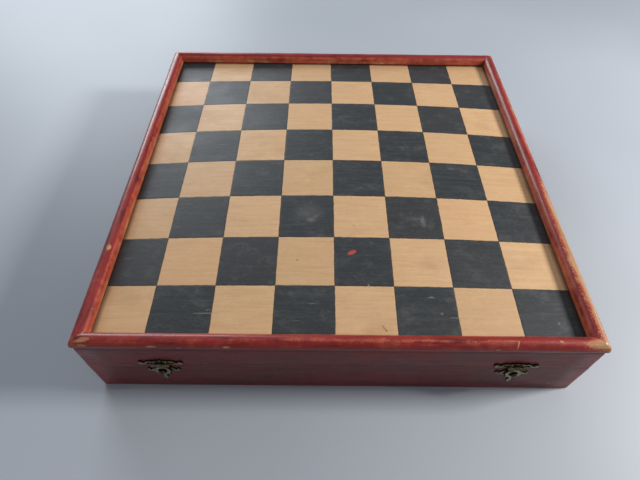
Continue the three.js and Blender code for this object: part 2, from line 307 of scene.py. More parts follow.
def lathe(shell: Shell, profile: Array, sides: int, axis: Axis, wear: Array | float = 0.0) -> None:
    """Turns a profile of radius and height round an axis and adds it to the shell.

    A point is the radius times the cosine and sine of the angle, and the profile's height lies
    along the axis.

    Args:
        shell: What the surface is added to.
        profile: Radius and height, from end to end.
        sides: How many points go round.
        axis: Which way the height runs.
        wear: The wear of each point of the profile, or one number for all.
    """
    angle = np.linspace(0, 2 * np.pi, sides, endpoint=False)
    r, h = profile[:, :1], profile[:, 1:]
    a, b, c = r * np.cos(angle), r * np.sin(angle), h + 0 * angle
    order = (c, a, b) if axis is Axis.ACROSS else (a, -c, b)
    levels = np.broadcast_to(np.asarray(wear, float).reshape(-1, 1), a.shape)
    shell.grid(np.stack(order, -1), wear=levels, around=True)


def barrel(radius: float, start: float, end: float, round_over: float) -> Array:
    """The profile of a bar with rounded ends, from its start to its end.

    Args:
        radius: The bar's radius.
        start: Where it starts.
        end: Where it ends.
        round_over: The radius of its ends' edges.

    Returns:
        Radius and height, from end to end.
    """
    near = arc((radius - round_over, start + round_over), round_over, -90, 0, 4)
    far = arc((radius - round_over, end - round_over), round_over, 0, 90, 4)
    return np.concatenate([[[0, start]], near, far, [[0, end]]])


# ---------------- finishes


MARK_END = 1.15  # where a mark's cover has faded to nothing, in shares of its reach


@dataclass(frozen=True)
class Mark:
    """A spot, chip, scratch or patch of painted highlight at one place of the case, in millimetres,
    with soft ragged edges.
    """

    centre: tuple[float, float, float]
    reach: tuple[float, float, float]
    strength: float = 1.0
    turn: tuple[float, float, float] = (0.0, 0.0, 0.0)  # degrees about one of X, Y and Z


class Nodes:
    """Writes the shader nodes of one material."""

    def __init__(self, name: str) -> None:
        """Makes a material that holds only a Principled shader and its output.

        Args:
            name: The material's name.
        """
        self.material = bpy.data.materials.new(name)
        self.material.use_nodes = True
        self.tree = self.material.node_tree
        self.tree.nodes.clear()
        self.shader = self.node("BsdfPrincipled")
        self.node("OutputMaterial", self.shader.outputs["BSDF"])

    def feed(self, target: Socket, value: Socket | float | Sequence[float]) -> None:
        """Links a socket to the target, or sets the target to a plain value.

        Args:
            target: The input socket.
            value: A socket, a number or a colour.
        """
        if isinstance(value, bpy.types.NodeSocket):
            self.tree.links.new(value, target)
        elif isinstance(value, (int, float)):
            target.default_value = value
        else:
            wide = len(target.default_value)
            target.default_value = (*value, 1.0)[:wide]

    def node(self, kind: str, *values: Socket | float | Sequence[float]) -> bpy.types.Node:
        """Adds a shader node and feeds its first inputs.

        Args:
            kind: The node's type, without the ShaderNode that all begin with.
            values: What its inputs are fed, in order.

        Returns:
            The node.
        """
        node = self.tree.nodes.new("ShaderNode" + kind)
        for target, value in zip(node.inputs, values):
            self.feed(target, value)
        return node

    def attribute(self, name: str, vector: bool = False) -> Socket:
        """The mesh's own layer of that name.

        Args:
            name: The layer's name.
            vector: Whether it holds vectors.

        Returns:
            The layer's value.
        """
        node = self.node("Attribute")
        node.attribute_name = name
        return node.outputs["Vector" if vector else "Fac"]

    def place(self) -> Socket:
        """The point's place on the object at rest, in metres."""
        return self.node("TexCoord").outputs["Object"]

    def mapped(
        self,
        vector: Socket,
        scale: Sequence[float],
        shift: Sequence[float] = (0, 0, 0),
        turn: Sequence[float] = (0, 0, 0),
    ) -> Socket:
        """Scales, turns by degrees and shifts a vector, in that order.

        Args:
            vector: The vector.
            scale: The factor for each axis.
            shift: What is added.
            turn: Degrees about each axis.

        Returns:
            The new vector.
        """
        radians = [math.radians(a) for a in turn]
        return self.node("Mapping", vector, shift, radians, scale).outputs["Vector"]

    def noise(
        self, vector: Socket, detail: float = 4.0, rough: float = 0.55, bend: float = 0.0
    ) -> Socket:
        """A cloud of about 0 to 1 that varies over one unit of the vector.

        Args:
            vector: Where the cloud is read.
            detail: How many finer layers it has.
            rough: How strong each finer layer is.
            bend: How far it is distorted.

        Returns:
            The cloud.
        """
        node = self.node("TexNoise", vector)
        node.inputs["Scale"].default_value = 1.0
        node.inputs["Detail"].default_value = detail
        node.inputs["Roughness"].default_value = rough
        node.inputs["Distortion"].default_value = bend
        return node.outputs["Fac"]

    def random(self, vector: Socket, colour: bool = False) -> Socket:
        """One even random number, or three, for each whole cell of the vector.

        Args:
            vector: The cell.
            colour: Whether three numbers are wanted.

        Returns:
            The random value.
        """
        return self.node("TexWhiteNoise", vector).outputs["Color" if colour else "Value"]

    def sum(self, operation: str, a: Socket | float, b: Socket | float = 0.0) -> Socket:
        """One of the Math node's operations on two values.

        Args:
            operation: Its name.
            a: The first value.
            b: The second value.

        Returns:
            The result.
        """
        node = self.node("Math", a, b)
        node.operation = operation
        return node.outputs[0]

    def sway(self, cloud: Socket, size: float) -> Socket:
        """A cloud that swings either side of 0: the cloud less a half, times the size.

        Args:
            cloud: The cloud of 0 to 1.
            size: How far it swings from end to end.

        Returns:
            The swing.
        """
        return self.sum("MULTIPLY", self.sum("SUBTRACT", cloud, 0.5), size)

    def vector_sum(
        self, operation: str, a: Socket, b: Socket | Sequence[float] = (0, 0, 0)
    ) -> Socket:
        """One of the Vector Math node's operations; LENGTH gives a number.

        Args:
            operation: Its name.
            a: The first vector.
            b: The second vector.

        Returns:
            The result.
        """
        node = self.node("VectorMath", a, b)
        node.operation = operation
        return node.outputs["Value" if operation == "LENGTH" else "Vector"]

    def parts(self, vector: Socket) -> tuple[Socket, Socket, Socket]:
        """A vector's three numbers.

        Args:
            vector: The vector.

        Returns:
            Its X, Y and Z.
        """
        return tuple(self.node("SeparateXYZ", vector).outputs)

    def span(
        self, value: Socket, low: float, high: float, start: float = 0.0, end: float = 1.0
    ) -> Socket:
        """Eases from start to end as the value goes from low to high.

        Args:
            value: The value.
            low: Where the easing starts.
            high: Where it ends.
            start: The result at low.
            end: The result at high.

        Returns:
            The eased value.
        """
        node = self.node("MapRange", value, low, high, start, end)
        node.interpolation_type = "SMOOTHSTEP"
        return node.outputs["Result"]

    def mix(self, share: Socket | float, a: Socket | Colour, b: Socket | Colour) -> Socket:
        """Mixes colour b over colour a by a share.

        Args:
            share: How much of b, 0 to 1.
            a: The colour beneath.
            b: The colour on top.

        Returns:
            The mixed colour.
        """
        node = self.node("Mix")
        node.data_type = "RGBA"
        self.feed(node.inputs[0], share)
        self.feed(node.inputs[6], a)
        self.feed(node.inputs[7], b)
        return node.outputs[2]

    def bump(self, height: Socket, depth: float, under: Socket | None = None) -> Socket:
        """A normal from a height of 0 to 1 that stands for a depth in metres.

        Args:
            height: The height.
            depth: What a height of 1 stands for.
            under: A normal to start from, or None.

        Returns:
            The new normal.
        """
        node = self.node("Bump")
        node.inputs["Strength"].default_value = 1.0
        node.inputs["Distance"].default_value = depth
        self.feed(node.inputs["Height"], height)
        if under is not None:
            self.feed(node.inputs["Normal"], under)
        return node.outputs["Normal"]

    def marks(self, marks: Sequence[Mark], rag: float = 0.35, core: float = 0.7) -> Socket:
        """How much any of the marks covers a point: 1 inside, 0 outside, ragged between.

        The distance from a mark's middle is measured in its own reaches, with a fine cloud added.

        Args:
            marks: The marks.
            rag: How ragged their edges are, in shares of a mark's reach.
            core: Where a mark starts to fade, in shares of its reach.

        Returns:
            The cover.
        """
        point = self.place()
        cloud = self.noise(self.mapped(point, (1 / MM,) * 3))
        ragged = self.sway(cloud, 2 * rag)
        total: Socket | None = None
        for mark in marks:
            centre, reach = (tuple(np.asarray(v) * MM) for v in (mark.centre, mark.reach))
            near = self.vector_sum("SUBTRACT", point, centre)
            if any(mark.turn):
                near = self.mapped(near, (1, 1, 1), turn=[-a for a in mark.turn])
            distance = self.vector_sum("LENGTH", self.vector_sum("DIVIDE", near, reach))
            away = self.sum("ADD", distance, ragged)
            cover = self.span(away, core, MARK_END, mark.strength, 0.0)
            total = cover if total is None else self.sum("MAXIMUM", total, cover)
        return total

    def finish(
        self, colour: Socket, rough: Socket | float, normal: Socket, **plain: float
    ) -> bpy.types.Material:
        """Joins the results to the shader and sets what is the same all over.

        Args:
            colour: The base colour.
            rough: The roughness.
            normal: The normal.
            plain: Other inputs, with _ for the spaces in their names.

        Returns:
            The finished material.
        """
        self.feed(self.shader.inputs["Base Color"], colour)
        self.feed(self.shader.inputs["Roughness"], rough)
        self.feed(self.shader.inputs["Normal"], normal)
        for name, value in plain.items():
            self.shader.inputs[name.replace("_", " ")].default_value = value
        return self.material


@dataclass(frozen=True)
class StainedWood:
    """Red-stained, varnished wood, worn back to the bare wood at its arrises."""

    name: str
    deep: Colour
    bright: Colour
    bare: Colour = linear(196, 150, 104)
    # bead: a brighter red on the bead and inner wall than on the face, painted light for the lit
    # bead over the shaded face
    bead: Colour = linear(158, 34, 28)
    # rubbed: the colour of rubbed stain, also laid as painted highlight by the rub marks
    rubbed: Colour = linear(184, 90, 62)
    # grime: the dark of the pores, and also the painted shade in the creases
    grime_and_shade: Colour = linear(38, 20, 18)
    gloss: float = 0.34
    marks: tuple[Mark, ...] = ()
    rubs_and_highlights: tuple[Mark, ...] = ()
    scratches: float = 0.4

    def material(self) -> bpy.types.Material:
        """Streaks and pores along the grain, blotches, rubbed arrises, painted light and shade,
        marks and scratches.

        Returns:
            The material.
        """
        n = Nodes(self.name)
        grain = n.attribute("grain", vector=True)
        wear = n.attribute("wear")
        stain = n.attribute("stain")
        point = n.place()
        streak = n.noise(n.mapped(grain, (14, 620, 620)), detail=5, bend=0.3)
        pore = n.noise(n.mapped(grain, (95, 2400, 2400), (7, 3, 1)), detail=2)
        blotch = n.noise(n.mapped(point, (22, 22, 60)), detail=4, rough=0.6)
        tone = n.sum("ADD", n.sum("MULTIPLY", streak, 0.75), n.sum("MULTIPLY", blotch, 0.55))
        red = n.mix(n.span(tone, 0.38, 0.92), self.deep, self.bright)
        # Painted light: where wear passes 0.1, on the bead and inner wall, half the brighter bead
        # red goes over the stain
        red = n.mix(n.span(wear, 0.10, 0.20, 0.0, 0.5), red, self.bead)
        red = n.mix(n.span(pore, 0.60, 0.72, 0.0, 0.55), red, self.grime_and_shade)
        wood = n.mix(n.span(streak, 0.3, 0.7), self.bare, linear(150, 106, 66))
        patchy = n.noise(n.mapped(point, (140, 140, 140)), detail=5, rough=0.65)
        rub_and_highlight = n.sum("ADD", wear, n.sway(patchy, 1.1))
        long_patch = n.noise(n.mapped(grain, (34, 260, 260), (3, 6, 2)), detail=5, rough=0.62)
        rub_and_highlight = n.sum("ADD", rub_and_highlight, n.sway(long_patch, 0.9))
        colour = n.mix(n.span(long_patch, 0.47, 0.34, 0.0, 0.6), red, linear(48, 14, 14))
        # The rub marks add painted highlight, partly real rubbing, to the rubbed colour
        if self.rubs_and_highlights:
            rub_and_highlight = n.sum("ADD", rub_and_highlight, n.sum("MULTIPLY", n.marks(self.rubs_and_highlights, 1.0), 0.62))
        colour = n.mix(n.span(rub_and_highlight, 0.34, 0.85, 0.0, 0.8), colour, self.rubbed)
        bare = n.span(rub_and_highlight, 0.82, 1.1)
        if self.marks:
            bare = n.sum("MAXIMUM", bare, n.marks(self.marks, 0.75))
        scuff = n.noise(n.mapped(point, (60, 900, 900), (5, 5, 5)), detail=3, rough=0.7, bend=1.2)
        thin = n.span(scuff, 0.70, 0.76, 0.0, self.scratches)
        colour = n.mix(thin, colour, self.rubbed)
        colour = n.mix(bare, colour, wood)
        # Painted shade: where wear is below 0, in the quirk under the bead and where the inner wall
        # meets the board, the colour darkens towards grime.
        painted_shade = n.sum("MULTIPLY", n.span(wear, -0.15, -0.75), n.span(patchy, 0.2, 0.6, 0.55, 1.0))
        colour = n.mix(painted_shade, colour, self.grime_and_shade)
        bleed = n.sum("ADD", stain, n.sway(patchy, 0.6))
        plain = n.span(bleed, 0.45, 0.6, 1.0, 0.0)
        colour = n.mix(plain, colour, wood)
        dull = n.sum("ADD", blotch, n.sum("MULTIPLY", patchy, 0.5))
        rough = n.span(dull, 0.5, 1.0, self.gloss, self.gloss + 0.2)
        rough = n.sum("ADD", rough, n.span(wear, 0.13, 0.05, 0.0, 0.2))
        rough = n.sum("MAXIMUM", rough, n.sum("MULTIPLY", n.sum("MAXIMUM", bare, plain), 0.68))
        relief = n.sum("SUBTRACT", streak, n.span(pore, 0.60, 0.75, 0.0, 0.8))
        normal = n.bump(relief, 0.07 * MM)
        normal = n.bump(patchy, 0.16 * MM, normal)
        polish = {"Specular_IOR_Level": 0.36, "Coat_Weight": 0.34, "Coat_Roughness": 0.2}
        return n.finish(colour, rough, normal, **polish)


@dataclass(frozen=True)
class BareWood:
    """Pale unfinished wood, dry and a little dusty."""

    name: str
    pale: Colour = linear(196, 158, 112)
    dark: Colour = linear(146, 104, 64)

    def material(self) -> bpy.types.Material:
        """Long figure and fine pores along the grain, with a few dull stains.

        Returns:
            The material.
        """
        n = Nodes(self.name)
        grain = n.attribute("grain", vector=True)
        figure = n.noise(n.mapped(grain, (5, 90, 90)), detail=5, bend=1.5)
        pore = n.noise(n.mapped(grain, (60, 1900, 1900)), detail=3)
        stain = n.noise(n.mapped(n.place(), (16, 16, 16)), detail=5, rough=0.7)
        colour = n.mix(n.span(figure, 0.32, 0.66), self.pale, self.dark)
        colour = n.mix(n.span(pore, 0.56, 0.72, 0.0, 0.5), colour, linear(98, 66, 40))
        colour = n.mix(n.span(stain, 0.55, 0.8, 0.0, 0.45), colour, linear(112, 84, 60))
        normal = n.bump(n.sum("SUBTRACT", figure, n.span(pore, 0.56, 0.74)), 0.09 * MM)
        return n.finish(colour, n.span(figure, 0.2, 0.8, 0.62, 0.8), normal)


@dataclass(frozen=True)
class Chequers:
    """The playing surface: light wood with ebonised squares under an old satin varnish."""

    name: str
    light: Colour = linear(211, 172, 129)
    light_streak: Colour = linear(197, 156, 113)
    dark: Colour = linear(38, 42, 45)
    dark_streak: Colour = linear(54, 56, 58)
    joint: Colour = linear(46, 32, 24)

    def material(self) -> bpy.types.Material:
        """Squares from the whole numbers of the place in squares, each with a tone of its own.

        Returns:
            The material.
        """
        n = Nodes(self.name)
        point = n.place()
        across = 1.0 / (SQUARE * MM)
        shift = tuple(-s / SQUARE for s in GRID_SHIFT)
        squares = n.mapped(point, (across, across, 0), (*shift, 0))
        wobble = n.noise(n.mapped(point, (160, 160, 0)), detail=3)
        ragged = n.sway(wobble, 0.022)
        column, row, _ = n.parts(squares)
        column, row = n.sum("ADD", column, ragged), n.sum("ADD", row, ragged)
        whole_column, whole_row = n.sum("FLOOR", column), n.sum("FLOOR", row)
        odd = n.sum("FLOORED_MODULO", n.sum("ADD", whole_column, whole_row), 2.0)
        join = n.node("CombineXYZ", whole_column, whole_row).outputs["Vector"]
        tone = n.random(join)
        own_place = n.vector_sum("MULTIPLY", n.random(join, True), (0.05, 0.0012, 0))
        grain_place = n.vector_sum("ADD", point, own_place)
        streak = n.noise(n.mapped(grain_place, (24, 420, 0)), detail=7, rough=0.7, bend=0.5)
        pore = n.noise(n.mapped(grain_place, (140, 1500, 0)), detail=3)
        cloud = n.noise(n.mapped(point, (17, 26, 0)), detail=5, rough=0.6)
        light = n.mix(n.span(streak, 0.30, 0.76), self.light, self.light_streak)
        light = n.mix(n.span(tone, 0.55, 1.0, 0.0, 0.3), light, linear(206, 156, 112))
        light = n.mix(n.span(tone, 0.45, 0.0, 0.0, 0.3), light, linear(182, 146, 106))
        light = n.mix(n.span(pore, 0.60, 0.76, 0.0, 0.28), light, linear(138, 96, 60))
        light = n.mix(n.span(cloud, 0.52, 0.78, 0.0, 0.35), light, linear(150, 112, 76))
        dark = n.mix(n.span(streak, 0.36, 0.72), self.dark, self.dark_streak)
        dark = n.mix(n.span(tone, 0.4, 1.0, 0.0, 0.35), dark, linear(54, 53, 54))
        dark = n.mix(n.span(pore, 0.60, 0.74, 0.0, 0.5), dark, linear(18, 18, 20))
        chalk = n.noise(n.mapped(point, (60, 85, 0), (3, 8, 0)), detail=8, rough=0.78)
        dark = n.mix(n.span(chalk, 0.48, 0.74, 0.0, 0.34), dark, linear(112, 112, 108))
        fibre = n.noise(n.mapped(point, (320, 1100, 0), (1, 4, 0)), detail=3, rough=0.7)
        dark = n.mix(n.span(fibre, 0.52, 0.72, 0.0, 0.3), dark, linear(98, 100, 98))
        light = n.mix(n.span(fibre, 0.50, 0.74, 0.0, 0.3), light, linear(168, 126, 84))
        light = n.mix(n.span(chalk, 0.52, 0.30, 0.0, 0.3), light, linear(222, 186, 140))
        colour = n.mix(odd, light, dark)
        line = n.sum("MINIMUM", self._edge(n, column), self._edge(n, row))
        colour = n.mix(n.span(line, 0.010, 0.003, 0.0, 0.75), colour, self.joint)
        slant = n.mapped(point, (30, 420, 0), (2, 1, 0), (0, 0, 24))
        scratch = n.noise(slant, detail=2, rough=0.5, bend=0.6)
        fine = n.span(scratch, 0.735, 0.76, 0.0, 0.5)
        colour = n.mix(fine, colour, linear(150, 138, 122))
        colour = n.mix(n.marks(SCUFFS, 1.1, 0.1), colour, linear(150, 148, 144))
        colour = n.mix(n.marks(SPECKS), colour, linear(96, 58, 36))
        colour = n.mix(n.marks(PAINT_SPOT, 0.25), colour, linear(190, 70, 64))
        # Painted shade: the board darkens towards the joint colour along its edge by the rails, read
        # from the wear layer and made patchy with the cloud.
        rim = n.attribute("wear")
        painted_shade = n.sum("ADD", rim, n.sum("MULTIPLY", cloud, 0.5))
        colour = n.mix(n.span(painted_shade, 0.55, 1.2, 0.0, 0.6), colour, self.joint)
        rough = n.span(n.sum("ADD", cloud, n.sum("MULTIPLY", chalk, 0.6)), 0.5, 1.1, 0.44, 0.60)
        relief = n.sum("SUBTRACT", streak, n.span(pore, 0.58, 0.74))
        normal = n.bump(relief, 0.04 * MM)
        normal = n.bump(cloud, 0.3 * MM, normal)
        polish = {"Specular_IOR_Level": 0.42, "Coat_Weight": 0.06, "Coat_Roughness": 0.35}
        return n.finish(colour, rough, normal, **polish)

    @staticmethod
    def _edge(n: Nodes, place: Socket) -> Socket:
        """The distance to the nearest whole number, in squares."""
        return n.sum("ABSOLUTE", n.sum("SUBTRACT", n.sum("FRACT", n.sum("ADD", place, 0.5)), 0.5))


@dataclass(frozen=True)
class OldBrass:
    """Stamped brass, dark green-brown in its hollows and rubbed bright on its ribs."""

    name: str
    hollow: Colour = linear(24, 21, 17)
    middle: Colour = linear(72, 65, 47)
    bright: Colour = linear(156, 145, 112)

    def material(self) -> bpy.types.Material:
        """Tarnish that follows the relief, with spots of verdigris and fine scratches.

        Returns:
            The material.
        """
        n = Nodes(self.name)
        point = n.place()
        cloud = n.noise(n.mapped(point, (420,) * 3), detail=5, rough=0.65)
        fine = n.noise(n.mapped(point, (2600,) * 3), detail=3)
        high = n.sum("ADD", n.attribute("wear"), n.sway(cloud, 0.9))
        colour = n.mix(n.span(high, 0.05, 0.5), self.hollow, self.middle)
        colour = n.mix(n.span(high, 0.5, 1.0), colour, self.bright)
        green = n.noise(n.mapped(point, (230,) * 3, (4, 2, 9)), detail=4, rough=0.7)
        colour = n.mix(n.span(green, 0.58, 0.74, 0.0, 0.5), colour, linear(78, 92, 66))
        rough = n.span(high, 0.0, 1.0, 0.62, 0.30)
        normal = n.bump(cloud, 0.09 * MM)
        normal = n.bump(fine, 0.03 * MM, normal)
        return n.finish(colour, rough, normal, Metallic=0.9)


@dataclass(frozen=True)
class TurnedWood:
    """A man's polished wood, its grain running up the man."""

    name: str
    pale: Colour
    dark: Colour
    pore: Colour
    gloss: float

    def material(self) -> bpy.types.Material:
        """Rings seen lengthwise, pores, hand-darkened patches and fine turning lines.

        Returns:
            The material.
        """
        n = Nodes(self.name)
        grain = n.attribute("grain", vector=True)
        figure = n.noise(n.mapped(grain, (260, 260, 14)), detail=4, bend=0.8)
        pore = n.noise(n.mapped(grain, (2300, 2300, 130)), detail=2)
        hand = n.noise(n.mapped(grain, (70, 70, 70), (9, 9, 9)), detail=4, rough=0.6)
        turning = n.noise(n.mapped(grain, (25, 25, 5200)), detail=1)
        colour = n.mix(n.span(figure, 0.32, 0.68), self.pale, self.dark)
        colour = n.mix(n.span(pore, 0.58, 0.72, 0.0, 0.5), colour, self.pore)
        colour = n.mix(n.span(hand, 0.5, 0.75, 0.0, 0.4), colour, self.dark)
        rough = n.span(hand, 0.3, 0.7, self.gloss, self.gloss + 0.16)
        normal = n.bump(turning, 0.03 * MM)
        normal = n.bump(figure, 0.05 * MM, normal)
        return n.finish(colour, rough, normal, Coat_Weight=0.35, Coat_Roughness=0.2)


SCUFFS = (
    Mark((-19.5, -62.7, 63), (4.5, 3.6, 20), 0.3),
    Mark((-15.9, -59.3, 63), (6, 2.6, 20), 0.22, (0, 0, 40)),
    Mark((-20, -56, 63), (14, 11, 20), 0.12),
    Mark((55.8, -60.7, 62), (9.5, 3.6, 20), 0.12),
    Mark((63.7, -62.6, 62), (2.6, 6.4, 20), 0.32),
    Mark((24.2, -83.2, 62), (3.6, 0.4, 20), 0.3, (0, 0, -28)),
    Mark((20.1, -118.7, 60), (0.7, 1.7, 20), 0.8),
    Mark((-17.3, -132.1, 59), (5, 0.6, 20), 0.3, (0, 0, 5)),
    Mark((-85.4, -137, 58), (2.2, 0.7, 20), 0.3),
    Mark((61.9, -126.3, 59), (1.5, 0.8, 20), 0.4, (0, 0, -20)),
    Mark((66.8, -138.5, 58), (0.8, 1.2, 20), 0.45),
    Mark((141.7, -144, 57), (1, 1, 20), 0.4),
)
SPECKS = (
    Mark((28.4, -148.6, 58), (0.7, 2.2, 20), 0.45, (0, 0, 38)),
    Mark((29.8, -150.5, 58), (0.9, 0.8, 20), 0.6),
    Mark((-28.7, -98.6, 61), (1.1, 0.8, 20), 0.4),
    Mark((12, -68, 63), (1, 0.7, 20), 0.25),
    Mark((92, 68, 60), (1.2, 1, 20), 0.5),
)
PAINT_SPOT = (Mark((9.9, -91.9, 62), (3.5, 1.6, 20), 0.85, (0, 0, 28)),)
LID_MARKS = (
    Mark((-156, -162.5, 65.5), (4.4, 1.4, 1.7), 0.75, (0, 0, 11)),
    Mark((-156.5, -165.1, 63.1), (3.2, 1, 0.9), 0.9),
    Mark((-114.8, -165.4, 62.6), (3, 1, 0.9)),
    Mark((-69.2, -165.4, 62.6), (2.4, 1, 0.9)),
    Mark((-98, -165.4, 61.6), (1.6, 1, 0.5), 0.6),
    Mark((96.1, -165.4, 62.6), (1.4, 1, 0.7), 0.8),
    Mark((108, -163, 64.8), (0.5, 3.2, 2.8), 0.85, (0, 0, -14)),
    Mark((104.5, -160.9, 66), (5, 0.4, 0.6), 0.55),
    Mark((134.6, -161, 66), (1.3, 0.8, 0.8)),
    Mark((159.6, -161.2, 65.6), (4.2, 2.6, 1.8), 0.75),
    Mark((164.3, -163.8, 62.6), (1.8, 2.2, 2.6), 0.85),
    Mark((-159.8, -92.5, 65.9), (1.8, 2.5, 1)),
    Mark((-163.5, 162.5, 63.6), (2.4, 3.4, 2.4), 0.8),
    Mark((163, 163, 63.6), (3, 2.8, 2.4), 0.8),
    Mark((-86.6, -164.7, 37.6), (2.2, 1, 0.6), 0.35),
)
# Painted highlights, partly real rubbing: orange patches strongest on the right and front beads and
# the front-right corner, where the light from the right falls.
LID_RUBS_AND_HIGHLIGHTS = (
    Mark((161.8, -96, 65.6), (3.4, 80, 3), 1.2),
    Mark((162.8, 60, 65.3), (1.9, 70, 1.7), 0.7),
    Mark((20, -161.2, 66.2), (95, 1.9, 0.8), 0.5),
    Mark((160, -162, 65), (11, 5, 3), 0.8),
    Mark((-161, 60, 66), (1.8, 90, 0.8), 0.3),
)
BASE_MARKS = (
    Mark((-147.8, -164.7, 34.3), (17, 1, 0.45), 0.32, (0, 7.2, 0)),
    Mark((-164.5, -164.5, 20), (1.3, 1.3, 9), 0.6),
    Mark((164.5, -164.5, 14), (1.2, 1.2, 8), 0.6),
    Mark((148, -164.7, 9), (1.1, 1, 1), 0.6),
    Mark((30, -164.7, 0.8), (6, 1, 0.9), 0.4),
)


@dataclass(frozen=True)
class Finishes:
    """Every material of the set."""

    lid: bpy.types.Material
    base: bpy.types.Material
    board: bpy.types.Material
    bare: bpy.types.Material
    brass: bpy.types.Material
    boxwood: bpy.types.Material
    ebony: bpy.types.Material

    @staticmethod
    def mixed() -> "Finishes":
        """Makes each material once, with the colours that are this set's own.

        Returns:
            The finishes.
        """
        lid = StainedWood("lid_red_stain", linear(80, 20, 18), linear(142, 38, 32))
        base = StainedWood("base_red_stain", linear(76, 21, 19), linear(130, 37, 32), gloss=0.38)
        boxwood = (linear(216, 172, 104), linear(176, 124, 62), linear(120, 76, 34))
        ebony = (linear(34, 28, 26), linear(22, 18, 18), linear(58, 44, 36))
        return Finishes(
            lid=replace(lid, marks=LID_MARKS, rubs_and_highlights=LID_RUBS_AND_HIGHLIGHTS).material(),
            base=replace(base, marks=BASE_MARKS).material(),
            board=Chequers("chequered_board").material(),
            bare=BareWood("bare_wood").material(),
            brass=OldBrass("tarnished_brass").material(),
            boxwood=TurnedWood("boxwood", *boxwood, gloss=0.3).material(),
            ebony=TurnedWood("ebonised_wood", *ebony, gloss=0.26).material(),
        )


# ---------------- fitting into the frame


class Named(Enum):
    """A choice whose name is part of a piece's name."""

    @property
    def word(self) -> str:
        """The name in lower case."""
        return self.name.lower()


@dataclass
class Fitted:
    """What each sub-assembly shares: the finishes and the way a piece joins the frame."""

    finishes: Finishes

    def fit(self, piece: bpy.types.Object, body: str, slot: str, *nodes: str) -> None:
        """Rides a piece on its body and hides the CAD nodes that it stands for.

        Args:
            piece: The finished piece.
            body: The CAD body it moves with.
            slot: The record's material slot; not used.
            nodes: The CAD nodes that it replaces, if any.
        """
        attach(piece, body)
        if nodes:
            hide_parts(*nodes)
        LOG.info("%s: %d faces on %s", piece.name, len(piece.data.polygons), body)

    def fit_brass(self, shell: Shell, place: Matrix, body: str, *nodes: str) -> None:
        """Builds a brass piece at its place and fits it.

        Args:
            shell: The piece's surface.
            place: Where it goes, in millimetres.
            body: The CAD body it moves with.
            nodes: The CAD nodes that it replaces, if any.
        """
        self.fit(shell.build([self.finishes.brass], place), body, "old_brass", *nodes)


class Side(Named):
    """The case's four sides, each a number of quarter turns from the front."""

    FRONT = 0
    RIGHT = 1
    BACK = 2
    LEFT = 3

    @property
    def turn(self) -> Matrix:
        """The turn that brings the front to this side."""
        return Matrix.Rotation(self.value * math.pi / 2, 4, "Z")


@dataclass(frozen=True)
class Profile:
    """A rail's closed section: distance in from the bead, height, wear and stain at each point."""

    inward: Array
    height: Array
    wear: Array
    stain: Array

    @staticmethod
    def of(runs: Sequence[tuple[Array, float, float]]) -> "Profile":
        """Joins runs of points, each with its wear and stain.

        Args:
            runs: The runs: points, wear and stain.

        Returns:
            The closed section.
        """
        points = np.concatenate([run for run, _, _ in runs])
        wear = np.concatenate([np.full(len(run), w) for run, w, _ in runs])
        stain = np.concatenate([np.full(len(run), s) for run, _, s in runs])
        return Profile(points[:, 0], points[:, 1], wear, stain)


def straight(start: tuple[float, float], end: tuple[float, float], steps: int) -> Array:
    """Even points from a start up to, but not including, an end."""
    t = np.linspace(0, 1, steps, endpoint=False)[:, None]
    return np.asarray(start) * (1 - t) + np.asarray(end) * t


